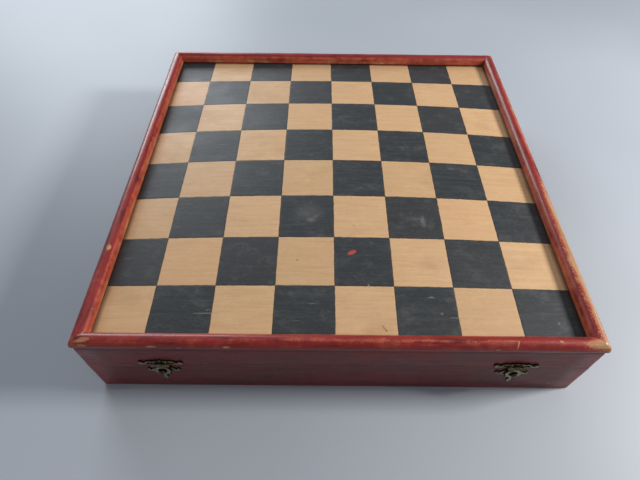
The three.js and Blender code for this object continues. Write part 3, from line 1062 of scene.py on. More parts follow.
@dataclass
class Case(Fitted):
    """The hinged case: the base's walls, bottom and divider, and the lid's rails and board."""

    joint_gap: float = 0.05  # half of what is left open at a mitre
    corner_radius: float = 1.3
    arris: float = 0.12
    bead_radius: float = WALL / 2
    rebate: float = 4.0
    mitre_start: float = 142.0  # where the sections begin to lean into the mitre
    pocket_depth: float = 1.5  # for the hinge leaves
    pocket_gap: float = 0.25  # past each end of a leaf
    pinch: float = 0.12  # how far the section shrinks at a mitre
    pinch_run: float = 0.22  # over what length
    joint_half: float = 0.45  # half the width of the groove between two squares
    joint_depth: float = 0.12
    divider_height: float = 29.0
    divider_thickness: float = 6.0
    length_steps: int = 240

    def make(self) -> None:
        """Builds the whole case."""
        for side in Side:
            self._rail("lid", side, self._lid_profile(), self.finishes.lid)
            self._rail("base", side, self._base_profile(), self.finishes.base)
        self._board()
        self._bottom()
        self._divider()

    @staticmethod
    def _pocket_edge() -> float:
        """How far in from the bead the pockets for the hinge leaves reach."""
        return HALF - (HINGE_Y - HINGE_REACH - 0.2)

    def _lid_profile(self) -> Profile:
        """The lid's rail: flat face, quirk, half-round bead and the inner wall with its groove.

        Returns:
            The section.
        """
        r, face, a, pocket = self.bead_radius, HALF - FACE, self.arris, self._pocket_edge()
        middle = CASE_TOP - r
        quirk = math.degrees(math.acos(1 - face / r))
        groove_top, groove_bottom = BOARD_TOP + 0.3, BOARD_TOP - BOARD_THICKNESS - 0.3
        groove_end = WALL - GROOVE_DEPTH
        face_top = middle - r * math.sin(math.radians(quirk)) - 0.5
        bead_wear = [0.15, 0.34, 0.42, 0.24, 0.62]
        angles = np.linspace(180 + quirk + 6, 0, 6)
        bead = [
            (arc((r, middle), r, a0, a1, 7)[:-1], w, 1.0)
            for a0, a1, w in zip(angles[:-1], angles[1:], bead_wear)
        ]
        return Profile.of(
            [
                (arc((face + a, LID_BOTTOM + a), a, 270, 180, 3), 0.12, 1.0),
                (straight((face, LID_BOTTOM + a), (face, face_top), 12), 0.02, 1.0),
                # wear below 0 here paints shade into the quirk under the bead
                (np.array([[face + 0.25, face_top + 0.15]]), -0.6, 1.0),
                *bead,
                (straight((WALL, middle), (WALL, groove_top + 0.6), 5), 0.86, 1.0),
                # wear below 0 here paints shade where the inner wall meets the board, and in the
                # groove
                (straight((WALL, groove_top + 0.6), (WALL, groove_top), 2), -0.75, 1.0),
                (np.array([[groove_end, groove_top], [groove_end, groove_bottom]]), -0.5, 0.2),
                (straight((WALL, groove_bottom), (WALL, LID_BOTTOM + a), 8), 0.0, 0.0),
                (arc((WALL - a, LID_BOTTOM + a), a, 0, -90, 3), 0.0, 0.1),
                (straight((WALL - a - 0.1, LID_BOTTOM), (pocket + 0.02, LID_BOTTOM), 2), 0.0, 0.0),
                (straight((pocket + 0.02, LID_BOTTOM), (face + a + 0.1, LID_BOTTOM), 6), 0.0, 0.3),
            ]
        )

    def _base_profile(self) -> Profile:
        """The base's wall, with its rebate for the bottom.

        Returns:
            The section.
        """
        face, a, ledge, pocket = HALF - FACE, self.arris, FLOOR_TOP + 0.05, self._pocket_edge()
        lip = WALL - self.rebate
        land = np.array([[pocket, BASE_TOP], [pocket + 0.02, BASE_TOP], [WALL - a - 0.1, BASE_TOP]])
        return Profile.of(
            [
                (arc((face + 0.6, 0.6), 0.6, 270, 180, 4), 0.4, 1.0),
                (straight((face, 0.6), (face, 4.0), 3), 0.12, 1.0),
                (straight((face, 4.0), (face, BASE_TOP - a), 12), 0.02, 1.0),
                (arc((face + a, BASE_TOP - a), a, 180, 90, 3), 0.12, 1.0),
                (straight((face + a + 0.1, BASE_TOP), (pocket, BASE_TOP), 6), 0.0, 0.3),
                (land, 0.0, 0.0),
                (arc((WALL - a, BASE_TOP - a), a, 90, 0, 3), 0.0, 0.1),
                (straight((WALL, BASE_TOP - a), (WALL, ledge), 10), 0.0, 0.0),
                (np.array([[WALL, ledge], [lip, ledge], [lip, 0.0]]), 0.0, 0.0),
            ]
        )

    def _rail(self, part: str, side: Side, profile: Profile, finish: bpy.types.Material) -> None:
        """Carries a profile along one side, with mitred ends, and replaces the CAD rail.

        The sections stand square to the rail up to where the mitre starts; past it, the rest of the
        length is scaled to what the mitre leaves at the point's distance in from the bead. At the
        ends the section shrinks by a hair, which draws the joint, and the outer arris is rounded:
        the offset from the corner's own centre is cut back to the corner's radius. On the back
        rails, what lies in a hinge pocket is pushed down to the pocket's floor.

        Args:
            part: lid or base.
            side: Which side it is on.
            profile: Its section.
            finish: Its material.
        """
        in_lid = part == "lid"
        name = f"{part}_{side.word}"
        whole = HALF - self.joint_gap
        edge = HINGE_HALF + self.pocket_gap
        stops = HINGE_X + (edge + np.array([[0.0, 0.02]])) * [[-1], [1]]
        stops = stops.ravel()
        near = whole - np.array([3.3, 2.2, 1.1, 0.35, 0.0])
        even = np.linspace(-whole + 4.4, whole - 4.4, self.length_steps)
        u = np.unique(np.concatenate([even, near, -near, stops, -stops]))
        inward, height = profile.inward[:, None], profile.height[:, None]
        length = whole - inward
        past = np.clip(np.abs(u) - self.mitre_start, 0, None) / (whole - self.mitre_start)
        leaning = past * (length - self.mitre_start)
        x = np.sign(u) * (np.minimum(np.abs(u), self.mitre_start) + leaning)
        y, z = inward - HALF + 0 * u, height + 0 * u
        if side is Side.BACK:
            within = (np.abs(np.abs(x) - HINGE_X) <= edge + 0.001) & (
                inward <= self._pocket_edge() + 0.001
            )
            if in_lid:
                within = within & (z < LID_BOTTOM + 5)
                floor = np.maximum(z, LID_BOTTOM + self.pocket_depth)
            else:
                floor = np.minimum(z, BASE_TOP - self.pocket_depth)
            z = np.where(within, floor, z)
        tangent = np.stack([np.gradient(profile.inward), np.gradient(profile.height)], -1)
        tangent /= np.linalg.norm(tangent, axis=1, keepdims=True) + TINY
        pinch = self.pinch * np.exp(-(((whole - np.abs(u)) / self.pinch_run) ** 2))
        y = y + pinch * tangent[:, 1:]
        z = z - pinch * tangent[:, :1]
        stained = profile.stain[:, None] > 0.5
        outer = smoothstep((self.bead_radius - inward) / self.bead_radius * 1.4) * stained
        corner = HALF - inward - self.corner_radius
        dx = np.clip(np.abs(x) - corner, 0, None)
        cut = self.corner_radius / np.sqrt(self.corner_radius**2 + dx**2)
        rounded_x = np.sign(x) * (corner + dx * cut)
        rounded_y = -(corner + self.corner_radius * cut) + (y - (inward - HALF))
        x = np.where(dx > 0, x + outer * (rounded_x - x), x)
        y = np.where(dx > 0, y + outer * (rounded_y - y), y)
        seed = 7 * side.value + 3 * in_lid
        wave = 0.10 * np.sin(x / 31.0 + seed) + 0.06 * np.sin(x / 11.3 + 2.1 * seed)
        on_bead = (profile.wear[:, None] > 0.1) & (height > BOARD_TOP)
        soft = smoothstep((HALF - 6 - np.abs(x)) / 20) * on_bead
        z = z - np.abs(wave) * soft
        steps = np.hypot(np.diff(profile.inward), np.diff(profile.height))
        run = np.concatenate([[0], np.cumsum(steps)])
        grain = np.stack([x + 41.0 * seed, run[:, None] + 0 * x + 13.0 * seed, 0 * x], -1)
        near_end = np.exp(-((HALF - np.abs(x)) / 7.0)) * outer
        wear = profile.wear[:, None] + 0.5 * near_end
        shell = Shell(f"{name}_rail")
        points = np.stack([x, y, z], -1)
        shell.grid(
            points.transpose(1, 0, 2),
            grain=grain.transpose(1, 0, 2),
            wear=wear.T,
            stain=np.broadcast_to(profile.stain, wear.T.shape),
            around=True,
        )
        shell.cap(points[:, 0], grain[:, 0], 0.0)
        shell.cap(points[::-1, -1], grain[::-1, -1], 0.0)
        piece = shell.build([finish], side.turn)
        self.fit(piece, "lid" if in_lid else "box", "red_wood", name)

    @staticmethod
    def _dome(x: Array, y: Array, half: float) -> Array:
        """How far the bowed board rises: the product of two parabolas that are 0 at the edges."""
        return BOARD_RISE * (1 - (x / half) ** 2) * (1 - (y / half) ** 2)

    def _board(self) -> None:
        """The bowed board, with a fine groove where two squares meet.

        The grid has close lines either side of every joint; the depth there falls off as a
        V-shaped groove from the nearest joint in X or Y.
        """
        half = INSIDE + GROOVE_DEPTH - 0.3
        joint = self.joint_half * np.arange(-2, 3)
        axes = []
        for shift in GRID_SHIFT:
            lines = shift + SQUARE * np.arange(-4, 5)
            inner = (lines[:-1, None] + np.linspace(1.4, SQUARE - 1.4, 10)).ravel()
            ends = [-half, -INSIDE, INSIDE, half]
            every = np.concatenate([(lines[:, None] + joint).ravel(), inner, ends])
            every = np.unique(np.round(every, 4))
            axes.append(every[(every >= -half) & (every <= half)])
        x, y = np.meshgrid(*axes)
        top = BOARD_TOP + self._dome(x, y, half)
        away = [
            np.abs((v - shift + SQUARE / 2) % SQUARE - SQUARE / 2)
            for v, shift in zip((x, y), GRID_SHIFT)
        ]
        groove = np.clip(1 - np.minimum(*away) / self.joint_half, 0, 1) * self.joint_depth
        # rim: painted shade over the board's last 5 mm by the rails, passed in the wear layer
        rim = np.clip(1 - (INSIDE - np.maximum(np.abs(x), np.abs(y))) / 5.0, 0, 1)
        shell = Shell("chequered_board")
        shell.grid(np.stack([x, y, top - groove], -1), wear=rim)
        coarse = np.linspace(-half, half, 40)
        cx, cy = np.meshgrid(coarse, coarse)
        under = BOARD_TOP - BOARD_THICKNESS + self._dome(cx, cy, half)
        shell.grid(np.stack([cx, cy, under], -1)[::-1], slot=1)
        for turn in range(4):
            line = axes[turn % 2]
            edge = np.stack([line, np.full_like(line, -half)], -1) @ self._quarter(turn)
            top_edge = np.column_stack([edge, np.full(len(line), BOARD_TOP)])
            low_edge = np.column_stack([edge, np.full(len(line), BOARD_TOP - BOARD_THICKNESS)])
            shell.grid(np.stack([low_edge, top_edge]), slot=1)
        piece = shell.build([self.finishes.board, self.finishes.bare])
        self.fit(piece, "lid", "board_wood", "playing_board")

    @staticmethod
    def _quarter(turn: int) -> Array:
        """A quarter turn's matrix for row vectors, made exact."""
        c, s = [(1, 0), (0, 1), (-1, 0), (0, -1)][turn]
        return np.array([[c, s], [-s, c]], float)

    @staticmethod
    def _slab(name: str, low: Sequence[float], high: Sequence[float], arris: float) -> Shell:
        """A board with rounded arrises.

        A square grid of directions is pushed out to a box and its corners are rounded: each point
        is the nearest point of the box shrunk by the arris, plus the arris towards the point.

        Args:
            name: The object's name.
            low: Its lowest corner.
            high: Its highest corner.
            arris: The edges' radius.

        Returns:
            The shell.
        """
        low_, high_ = np.asarray(low, float), np.asarray(high, float)
        middle, reach = (low_ + high_) / 2, (high_ - low_) / 2
        shell = Shell(name)
        spread = np.linspace(-0.999, 0.999, 24)
        ends = np.array([-1.0, 1.0])
        for axis in range(3):
            a, b = [i for i in range(3) if i != axis]
            for sign in (-1, 1):
                steps = []
                for r in (reach[a], reach[b]):
                    parts = [ends * r, ends * (r - arris / 2), spread * (r - arris)]
                    steps.append(np.unique(np.concatenate(parts)))
                u, v = np.meshgrid(*steps)
                points = np.zeros((*u.shape, 3))
                points[..., a], points[..., b], points[..., axis] = u, v, sign * reach[axis]
                core = np.clip(points, -(reach - arris), reach - arris)
                away = points - core
                size = np.linalg.norm(away, axis=-1, keepdims=True) + TINY
                points = core + away / size * arris + middle
                shell.grid(points)
        return shell

    def _bottom(self) -> None:
        """The bottom panel in the walls' rebate."""
        half = INSIDE + self.rebate - 0.3
        shell = self._slab("bottom_panel", (-half, -half, 0.0), (half, half, FLOOR_TOP), 0.4)
        self.fit(shell.build([self.finishes.bare]), "box", "bare_wood", "base_bottom")

    def _divider(self) -> None:
        """The partition between the two compartments."""
        end, side = INSIDE - 0.05, self.divider_thickness / 2
        top = FLOOR_TOP + 0.3 + self.divider_height
        low, high = (-end, -side, FLOOR_TOP + 0.02), (end, side, top)
        shell = self._slab("compartment_divider", low, high, 0.9)
        self.fit(shell.build([self.finishes.bare]), "box", "bare_wood", "divider")


# ---------------- stamped hardware


@dataclass(frozen=True)
class Rib:
    """A stamped ornament's raised line: across, up and half-width at its points, in millimetres."""

    points: tuple[tuple[float, float, float], ...]
    lift: float = 0.35
    both: bool = True  # mirrored to the other side as well

    def field(self, x: Array, z: Array) -> tuple[Array, Array]:
        """How far inside the rib a point lies, and the rib's relief there.

        For each short piece of the path, the distance to it is taken from the half-width there; the
        relief is a half circle over the rib.

        Args:
            x: Places across.
            z: Places up.

        Returns:
            How far inside, and the relief.
        """
        path = spline(self.points, 8)
        a, b = path[:-1, :2], path[1:, :2]
        wa, wb = path[:-1, 2], path[1:, 2]
        px = np.abs(x)[..., None] if self.both else x[..., None]
        pz = z[..., None]
        run = b - a
        share = (px - a[:, 0]) * run[:, 0] + (pz - a[:, 1]) * run[:, 1]
        share = np.clip(share / ((run**2).sum(1) + 1e-12), 0, 1)
        away = np.hypot(px - a[:, 0] - share * run[:, 0], pz - a[:, 1] - share * run[:, 1])
        width = wa + share * (wb - wa)
        inside = (width - away).max(-1)
        bulge = np.sqrt(np.clip(1 - (away / np.maximum(width, 1e-3)) ** 2, 0, 1)).max(-1)
        return inside, self.lift * bulge


@dataclass(frozen=True)
class Hole:
    """An opening in a stamped plate: middle, half-width and half-height, in millimetres."""

    across: float
    up: float
    wide: float
    tall: float
    both: bool = False

    def clear(self, x: Array, z: Array) -> Array:
        """How far outside the hole a point lies.

        Args:
            x: Places across.
            z: Places up.

        Returns:
            The distance, below 0 inside the hole.
        """
        px = np.abs(x) if self.both else x
        scale = min(self.wide, self.tall)
        return (np.hypot((px - self.across) / self.wide, (z - self.up) / self.tall) - 1) * scale


@dataclass(frozen=True)
class Stamping:
    """A thin stamped plate: the union of its ribs, less its holes, with their relief on top."""

    ribs: tuple[Rib, ...]
    holes: tuple[Hole, ...]
    low: tuple[float, float]
    high: tuple[float, float]
    back: float  # how far the back stands from the case's face
    thickness: float
    cell: float = 0.17
    notch: tuple[float, float] | None = None  # half-width and top of a square notch from below

    def cast(self, shell: Shell) -> None:
        """Adds the plate to a shell, lying in X and Z and facing -Y.

        A fine grid keeps the cells whose middle is inside. Their outer vertices move onto the
        outline along the field's slope, the front follows the relief and falls away at the
        outline, and walls close the edges that only one kept cell has.

        Args:
            shell: What the surface is added to.
        """
        xs = np.arange(self.low[0], self.high[0] + self.cell, self.cell)
        zs = np.arange(self.low[1], self.high[1] + self.cell, self.cell)
        x, z = np.meshgrid(xs, zs)
        field_, _ = self._measure(x, z)
        inside = self._measure((x[:-1, :-1] + x[1:, 1:]) / 2, (z[:-1, :-1] + z[1:, 1:]) / 2)[0] > 0
        cells_at = np.zeros(x.shape, int)
        for rows, columns in ((slice(0, -1), slice(0, -1)), (slice(1, None), slice(0, -1)),
                              (slice(0, -1), slice(1, None)), (slice(1, None), slice(1, None))):
            cells_at[rows, columns] += inside
        border = (cells_at > 0) & (cells_at < 4)
        for _ in range(2):
            slope_z, slope_x = np.gradient(field_, self.cell)
            steep = np.maximum(slope_x**2 + slope_z**2, 0.3)
            x = np.where(border, x - np.clip(field_ * slope_x / steep, -0.12, 0.12), x)
            z = np.where(border, z - np.clip(field_ * slope_z / steep, -0.12, 0.12), z)
            field_, relief = self._measure(x, z)
        edge = smoothstep(np.where(border, 0, field_) / 0.35)
        front = self.back + self.thickness * (0.6 + 0.4 * edge) + relief * edge
        wear = np.clip(relief * edge / 0.4, 0, 1) * 0.9
        number = np.arange(x.size).reshape(x.shape)
        corners = [number[:-1, :-1], number[:-1, 1:], number[1:, 1:], number[1:, :-1]]
        quads = np.stack(corners, -1)[inside]
        sides = np.concatenate([quads[:, [i, (i + 1) % 4]] for i in range(4)])
        key = np.sort(sides, 1) @ np.array([x.size, 1])
        _, first, count = np.unique(key, return_index=True, return_counts=True)
        open_sides = sides[first[count == 1]]
        points = np.concatenate(
            [
                np.stack([x, -front, z], -1).reshape(-1, 3),
                np.stack([x, 0 * x - self.back, z], -1).reshape(-1, 3),
            ]
        )
        walls = np.column_stack([open_sides[:, ::-1], open_sides + x.size])
        faces = np.concatenate([quads, quads[:, ::-1] + x.size, walls])
        used = np.unique(faces)
        renumber = np.zeros(len(points), int)
        renumber[used] = np.arange(len(used))
        levels = np.concatenate([wear.ravel(), np.zeros(wear.size)])
        shell.mesh(points[used], renumber[faces].tolist(), levels[used])

    def _measure(self, x: Array, z: Array) -> tuple[Array, Array]:
        """How far inside the plate each point lies, and the relief there.

        Args:
            x: Places across.
            z: Places up.

        Returns:
            How far inside, and the relief.
        """
        inside = np.full(x.shape, -9.0)
        relief = np.zeros(x.shape)
        for rib in self.ribs:
            depth, lift = rib.field(x, z)
            inside = np.maximum(inside, depth)
            relief = np.maximum(relief, lift)
        for hole in self.holes:
            away = hole.clear(x, z)
            inside = np.minimum(inside, away)
            relief = np.maximum(relief, 0.3 * np.exp(-((away / 0.45) ** 2)))
        if self.notch is not None:
            half, top = self.notch
            inside = np.minimum(inside, np.maximum(np.abs(x) - half, z - top))
        return inside, relief


class Hand(Named):
    """The left and the right of two alike fittings."""

    LEFT = -1
    RIGHT = 1


@dataclass
class Catch(Fitted):
    """A brass catch on the front: plate and hasp on the lid, plate and stud on the base."""

    hand: Hand
    knuckle_radius: float = 1.3
    hasp_knuckle: float = 5.0
    plate_knuckle: float = 3.0
    knuckle_gap: float = 0.3
    eye_drop: float = 5.1
    stud_drop: float = 4.65
    stud_reach: float = 5.1

    def make(self) -> None:
        """Builds the whole catch."""
        self._catch_plate()
        self._hasp()
        self._stud_plate()
        self._stud()
        self._hasp_pin()
        self._nails()

    @property
    def place(self) -> Matrix:
        """The parting line behind the catch's middle, in millimetres."""
        return Matrix.Translation((self.hand.value * CATCH_X, -FACE, PARTING))

    def _knuckle(self, shell: Shell, start: float, end: float) -> None:
        """A rolled barrel round the hasp's axis.

        Args:
            shell: What the surface is added to.
            start: Where it starts across.
            end: Where it ends.
        """
        profile = barrel(self.knuckle_radius, start, end, 0.15)
        part = Shell("barrel")
        lathe(part, profile, 28, Axis.ACROSS)
        shell.join(part, (0, -HASP_AXIS_PROUD, HASP_AXIS_RISE), 0.7)

    def _catch_plate(self) -> None:
        """The winged plate on the lid, with its two knuckles."""
        inner = self.hasp_knuckle / 2 + self.knuckle_gap
        stamping = Stamping(
            ribs=(
                Rib(((0, 4.9, 1.5), (2.2, 4.9, 1.3), (4.4, 4.6, 1.4), (6.2, 4.9, 1.1)), 0.2),
                Rib(((4.3, 2.9, 1.5), (5.0, 4.2, 1.2), (6.6, 5.3, 0.9), (8.3, 4.7, 0.85),
                     (9.6, 3.2, 0.9), (11.2, 2.0, 1.0), (13.0, 2.2, 1.1), (13.5, 3.7, 1.0),
                     (12.3, 4.6, 0.8)), 0.42),
                Rib(((6.2, 2.4, 0.8), (7.6, 1.5, 0.75), (9.0, 2.0, 0.7), (10.6, 2.8, 0.6)), 0.34),
                Rib(((0, 5.6, 1.1), (0, 6.6, 0.75)), 0.4),
                Rib(((1.3, 5.5, 0.7), (2.5, 6.2, 0.55), (3.6, 5.8, 0.5)), 0.34),
            ),
            holes=(Hole(7.6, 3.5, 0.75, 0.6, True), Hole(11.7, 3.5, 0.45, 0.45, True)),
            low=(-15.2, 0.2),
            high=(15.2, 8.2),
            back=0.03,
            thickness=0.75,
            notch=(inner, HASP_AXIS_RISE + self.knuckle_radius + 0.3),
        )
        shell = Shell(f"catch_plate_{self.hand.word}_ornament")
        stamping.cast(shell)
        for side in (-1, 1):
            start, end = sorted((side * inner, side * (inner + self.plate_knuckle)))
            self._knuckle(shell, start, end)
        self.fit_brass(shell, self.place, "lid", f"catch_plate_{self.hand.word}")

    def _hasp(self) -> None:
        """The hasp: a knuckle, a pierced boss that goes over the stud, and a leaf-shaped tip."""
        drop = self.eye_drop
        turns = np.radians(np.linspace(0, 180, 9))
        ring = [(4.0 * math.sin(a), -drop + 4.4 * math.cos(a), 1.45) for a in turns]
        stamping = Stamping(
            ribs=(
                Rib(tuple(ring), 0.45),
                Rib(((0, 2.0, 2.4), (0, 0.6, 2.3)), 0.12),
                Rib(((0, -10.4, 1.5), (0, -12.4, 1.0), (0, -14.4, 1.9), (0, -16.2, 1.2),
                     (0, -17.6, 0.45)), 0.45),
                Rib(((2.2, -8.9, 0.9), (3.6, -10.1, 0.8), (3.3, -11.3, 0.6)), 0.34),
            ),
            holes=(Hole(0, -drop, 2.5, 3.05),),
            low=(-6.4, -18.6),
            high=(6.4, 2.4),
            back=HASP_AXIS_PROUD - 0.4,
            thickness=0.75,
        )
        shell = Shell(f"hasp_{self.hand.word}_ornament")
        stamping.cast(shell)
        self._knuckle(shell, -self.hasp_knuckle / 2, self.hasp_knuckle / 2)
        self.fit_brass(shell, self.place, f"hasp_{self.hand.word}", f"hasp_{self.hand.word}")

    def _stud_plate(self) -> None:
        """The lobed plate on the base, behind the hasp."""
        stamping = Stamping(
            ribs=(
                Rib(((0, -3.4, 1.6), (0, -7.2, 2.6), (0, -10.6, 2.2), (0, -12.4, 0.8)), 0.1),
                Rib(((2.0, -4.0, 1.4), (4.6, -5.0, 1.3), (6.6, -6.9, 1.2), (8.6, -8.4, 1.3),
                     (10.2, -7.2, 1.0), (9.4, -5.8, 0.8)), 0.42),
                Rib(((2.4, -10.2, 1.2), (4.6, -9.6, 1.1), (6.4, -9.0, 0.8), (7.6, -10.0, 0.6)),
                    0.36),
            ),
            holes=(Hole(4.9, -7.4, 0.8, 0.65, True),),
            low=(-11.6, -13.6),
            high=(11.6, -1.6),
            back=0.03,
            thickness=0.6,
        )
        shell = Shell(f"stud_plate_{self.hand.word}_ornament")
        stamping.cast(shell)
        self.fit_brass(shell, self.place, "box", f"stud_plate_{self.hand.word}")

    def _stud(self) -> None:
        """The headed stud that the hasp's eye drops over."""
        reach = self.stud_reach
        profile = np.concatenate(
            [
                [[0, 0.2], [1.55, 0.2], [1.55, 0.75]],
                spline([(1.2, 0.95), (1.05, 2.0), (1.15, 3.0), (1.75, 3.4)], 4),
                spline([(1.95, 3.6), (1.98, 4.0), (1.6, 4.6), (0.8, reach - 0.1), (0, reach)], 5),
            ]
        )
        wear = np.clip((profile[:, 1] - 1.0) / 3.0, 0.05, 0.5)
        shell = Shell(f"stud_{self.hand.word}_turned")
        lathe(shell, profile, 36, Axis.FORWARD, wear)
        lower = self.place @ Matrix.Translation((0, 0, -self.stud_drop))
        self.fit_brass(shell, lower, "box", f"stud_{self.hand.word}")

    def _hasp_pin(self) -> None:
        """The wire through the knuckles, with slightly spread ends."""
        half = self.hasp_knuckle / 2 + self.knuckle_gap + self.plate_knuckle + 0.25
        profile = np.array([[0, -half], [0.55, -half], [0.7, -half + 0.12], [0.5, -half + 0.3],
                            [0.5, half - 0.3], [0.7, half - 0.12], [0.55, half], [0, half]])
        shell = Shell(f"hasp_pin_{self.hand.word}_wire")
        lathe(shell, profile, 16, Axis.ACROSS, 0.6)
        lift = Matrix.Translation((0, -HASP_AXIS_PROUD, HASP_AXIS_RISE))
        self.fit_brass(shell, self.place @ lift, "lid", f"hasp_pin_{self.hand.word}")

    def _nails(self) -> None:
        """Round-headed pins that hold the two plates."""
        dome = arc((0, 0.55), 0.95, 0, 90, 6) * (1, 0.75) + (0, 0.2)
        head = np.concatenate([[[0, 0.3], [0.95, 0.3]], dome])
        for label, body, spots in (
            ("upper", "lid", ((-11.7, 3.5), (11.7, 3.5), (-3.6, 5.2), (3.6, 5.2))),
            ("lower", "box", ((-9.3, -7.0), (9.3, -7.0), (0, -11.6))),
        ):
            shell = Shell(f"catch_nails_{label}_{self.hand.word}")
            for across, up in spots:
                part = Shell("nail")
                lathe(part, head, 18, Axis.FORWARD)
                shell.join(part, (across, -0.45, up), 0.8)
            self.fit_brass(shell, self.place, body)


@dataclass
class Hinge(Fitted):
    """A butt hinge at the back, let into the rails, with its screws."""

    hand: Hand
    width: float = 2 * HINGE_HALF
    reach: float = HINGE_REACH
    thickness: float = 1.2
    knuckle_radius: float = 2.4
    middle_knuckle: float = 12.4
    gap: float = 0.3
    leaf_gap: float = 0.15
    sink: float = 0.75  # how deep the countersinks are
    screw_set: float = 0.12  # how far the screws lie below the leaf's face
    screw_turn: float = 1.3  # how much each slot is turned from the one before, in radians

    def make(self) -> None:
        """Builds the whole hinge."""
        self._leaf("base", "box", -1)
        self._leaf("lid", "lid", 1)
        self._pin()

    @property
    def place(self) -> Matrix:
        """The hinge's middle on its axis, in millimetres."""
        return Matrix.Translation((self.hand.value * HINGE_X, HINGE_Y, PARTING))

    def _leaf(self, label: str, body: str, side: int) -> None:
        """A leaf with its knuckles, and its countersunk screws.

        The leaf is a grid over its length and breadth whose height sinks as a cone at each screw,
        and which stops short of the axis where the other leaf has a knuckle.

        Args:
            label: base or lid.
            body: The body it moves with.
            side: -1 below the parting, 1 above it.
        """
        half, middle = self.width / 2, self.middle_knuckle / 2
        inner = side * self.leaf_gap
        outer = side * (self.leaf_gap + self.thickness)
        spots = ((-13.0, -6.3), (0.0, -6.0), (13.0, -6.3))
        steps = np.array([middle, middle + self.gap])
        clear = np.concatenate([-steps, steps]) + np.array([[-0.01], [0.01]])
        u = np.unique(np.concatenate([np.linspace(-half, half, 153), clear.ravel()]))
        x, v = np.meshgrid(u, np.linspace(0, 1, 43))
        own = (np.abs(x) >= middle + self.gap) if side < 0 else (np.abs(x) <= middle)
        y = -self.reach + v * (self.reach - np.where(own, 0.6, self.knuckle_radius + 0.32))
        sink = np.zeros(x.shape)
        for sx, sy in spots:
            sink = np.maximum(sink, np.clip(1 - (np.hypot(x - sx, y - sy) - 1.0) / 1.3, 0, 1))
        near = np.stack([x, y, inner + side * self.sink * sink], -1)
        far = np.stack([x, y, np.full(x.shape, outer)], -1)
        shell = Shell(f"hinge_leaf_{label}_{self.hand.word}_plate")
        wear = 0.25 + 0.35 * np.exp(-(((self.reach + y) / 1.5) ** 2)) - 0.2 * sink
        shell.grid(near, wear=wear)
        shell.grid(far[::-1], wear=0.15)
        ring_near = np.concatenate([near[0], near[1:-1, -1], near[-1, ::-1], near[-2:0:-1, 0]])
        ring_far = np.concatenate([far[0], far[1:-1, -1], far[-1, ::-1], far[-2:0:-1, 0]])
        shell.grid(np.stack([ring_near, ring_far]), wear=0.4, around=True)
        spans = [(-middle, middle)]
        if side < 0:
            spans = [(-half, -middle - self.gap), (middle + self.gap, half)]
        for start, end in spans:
            part = Shell("barrel")
            lathe(part, barrel(self.knuckle_radius, start, end, 0.2), 40, Axis.ACROSS)
            shell.join(part, (0, 0, 0), 0.5)
        self.fit_brass(shell, self.place, body, f"hinge_leaf_{label}_{self.hand.word}")
        screws = Shell(f"hinge_screws_{label}_{self.hand.word}")
        for index, (sx, sy) in enumerate(spots):
            spot = (sx, sy, inner + side * self.screw_set)
            self._screw(screws, spot, side, 0.6 + self.screw_turn * index)
        self.fit_brass(screws, self.place, body)

    @staticmethod
    def _screw(shell: Shell, spot: tuple[float, float, float], side: int, turn: float) -> None:
        """A countersunk screw head with a slot: rings of a disc, pushed down inside the slot.

        Args:
            shell: What the surface is added to.
            spot: The head's middle.
            side: -1 if it faces up, 1 if down.
            turn: The slot's angle.
        """
        r = np.array([0, 0.35, 0.7, 1.0, 1.3, 1.6, 1.85, 2.0, 1.1, 0.0])[:, None]
        drop = np.array([0, 0, 0, 0, 0.01, 0.03, 0.07, 0.16, 0.9, 0.9])[:, None]
        angle = np.linspace(0, 2 * np.pi, 48, endpoint=False)
        x, y = r * np.cos(angle), r * np.sin(angle)
        across = x * math.cos(turn) + y * math.sin(turn)
        slot = 0.4 * (np.abs(across) < 0.26) * (drop < 0.1)
        z = side * (drop + slot)
        points = np.stack([x, y, z], -1) + np.asarray(spot)
        shell.grid(points, wear=0.55 - slot, around=True)

    def _pin(self) -> None:
        """The pin, seen at the ends of the outer knuckles."""
        half = self.width / 2
        shell = Shell(f"hinge_pin_{self.hand.word}_wire")
        lathe(shell, barrel(1.0, -half - 0.25, half + 0.25, 0.25), 24, Axis.ACROSS, 0.5)
        self.fit_brass(shell, self.place, "box", f"hinge_pin_{self.hand.word}")


# ---------------- the men


class Rank(Named):
    """The six kinds of men, with overall height and foot radius in millimetres."""

    PAWN = (40.0, 11.5)
    ROOK = (44.0, 13.0)
    KNIGHT = (54.0, 13.5)
    BISHOP = (56.0, 13.0)
    QUEEN = (70.0, 14.5)
    KING = (76.0, 15.5)

    @property
    def height(self) -> float:
        """How tall the man stands."""
        return self.value[0]

    @property
    def foot(self) -> float:
        """The radius of its foot."""
        return self.value[1]


class Army(Named):
    """The two sides: which way each lies, and its record slot."""

    WHITE = (1, "boxwood")
    BLACK = (-1, "ebonised_wood")

    @property
    def towards(self) -> int:
        """1 if its officers' heads point to the back, -1 if to the front."""
        return self.value[0]

    @property
    def slot(self) -> str:
        """The record's material slot."""
        return self.value[1]


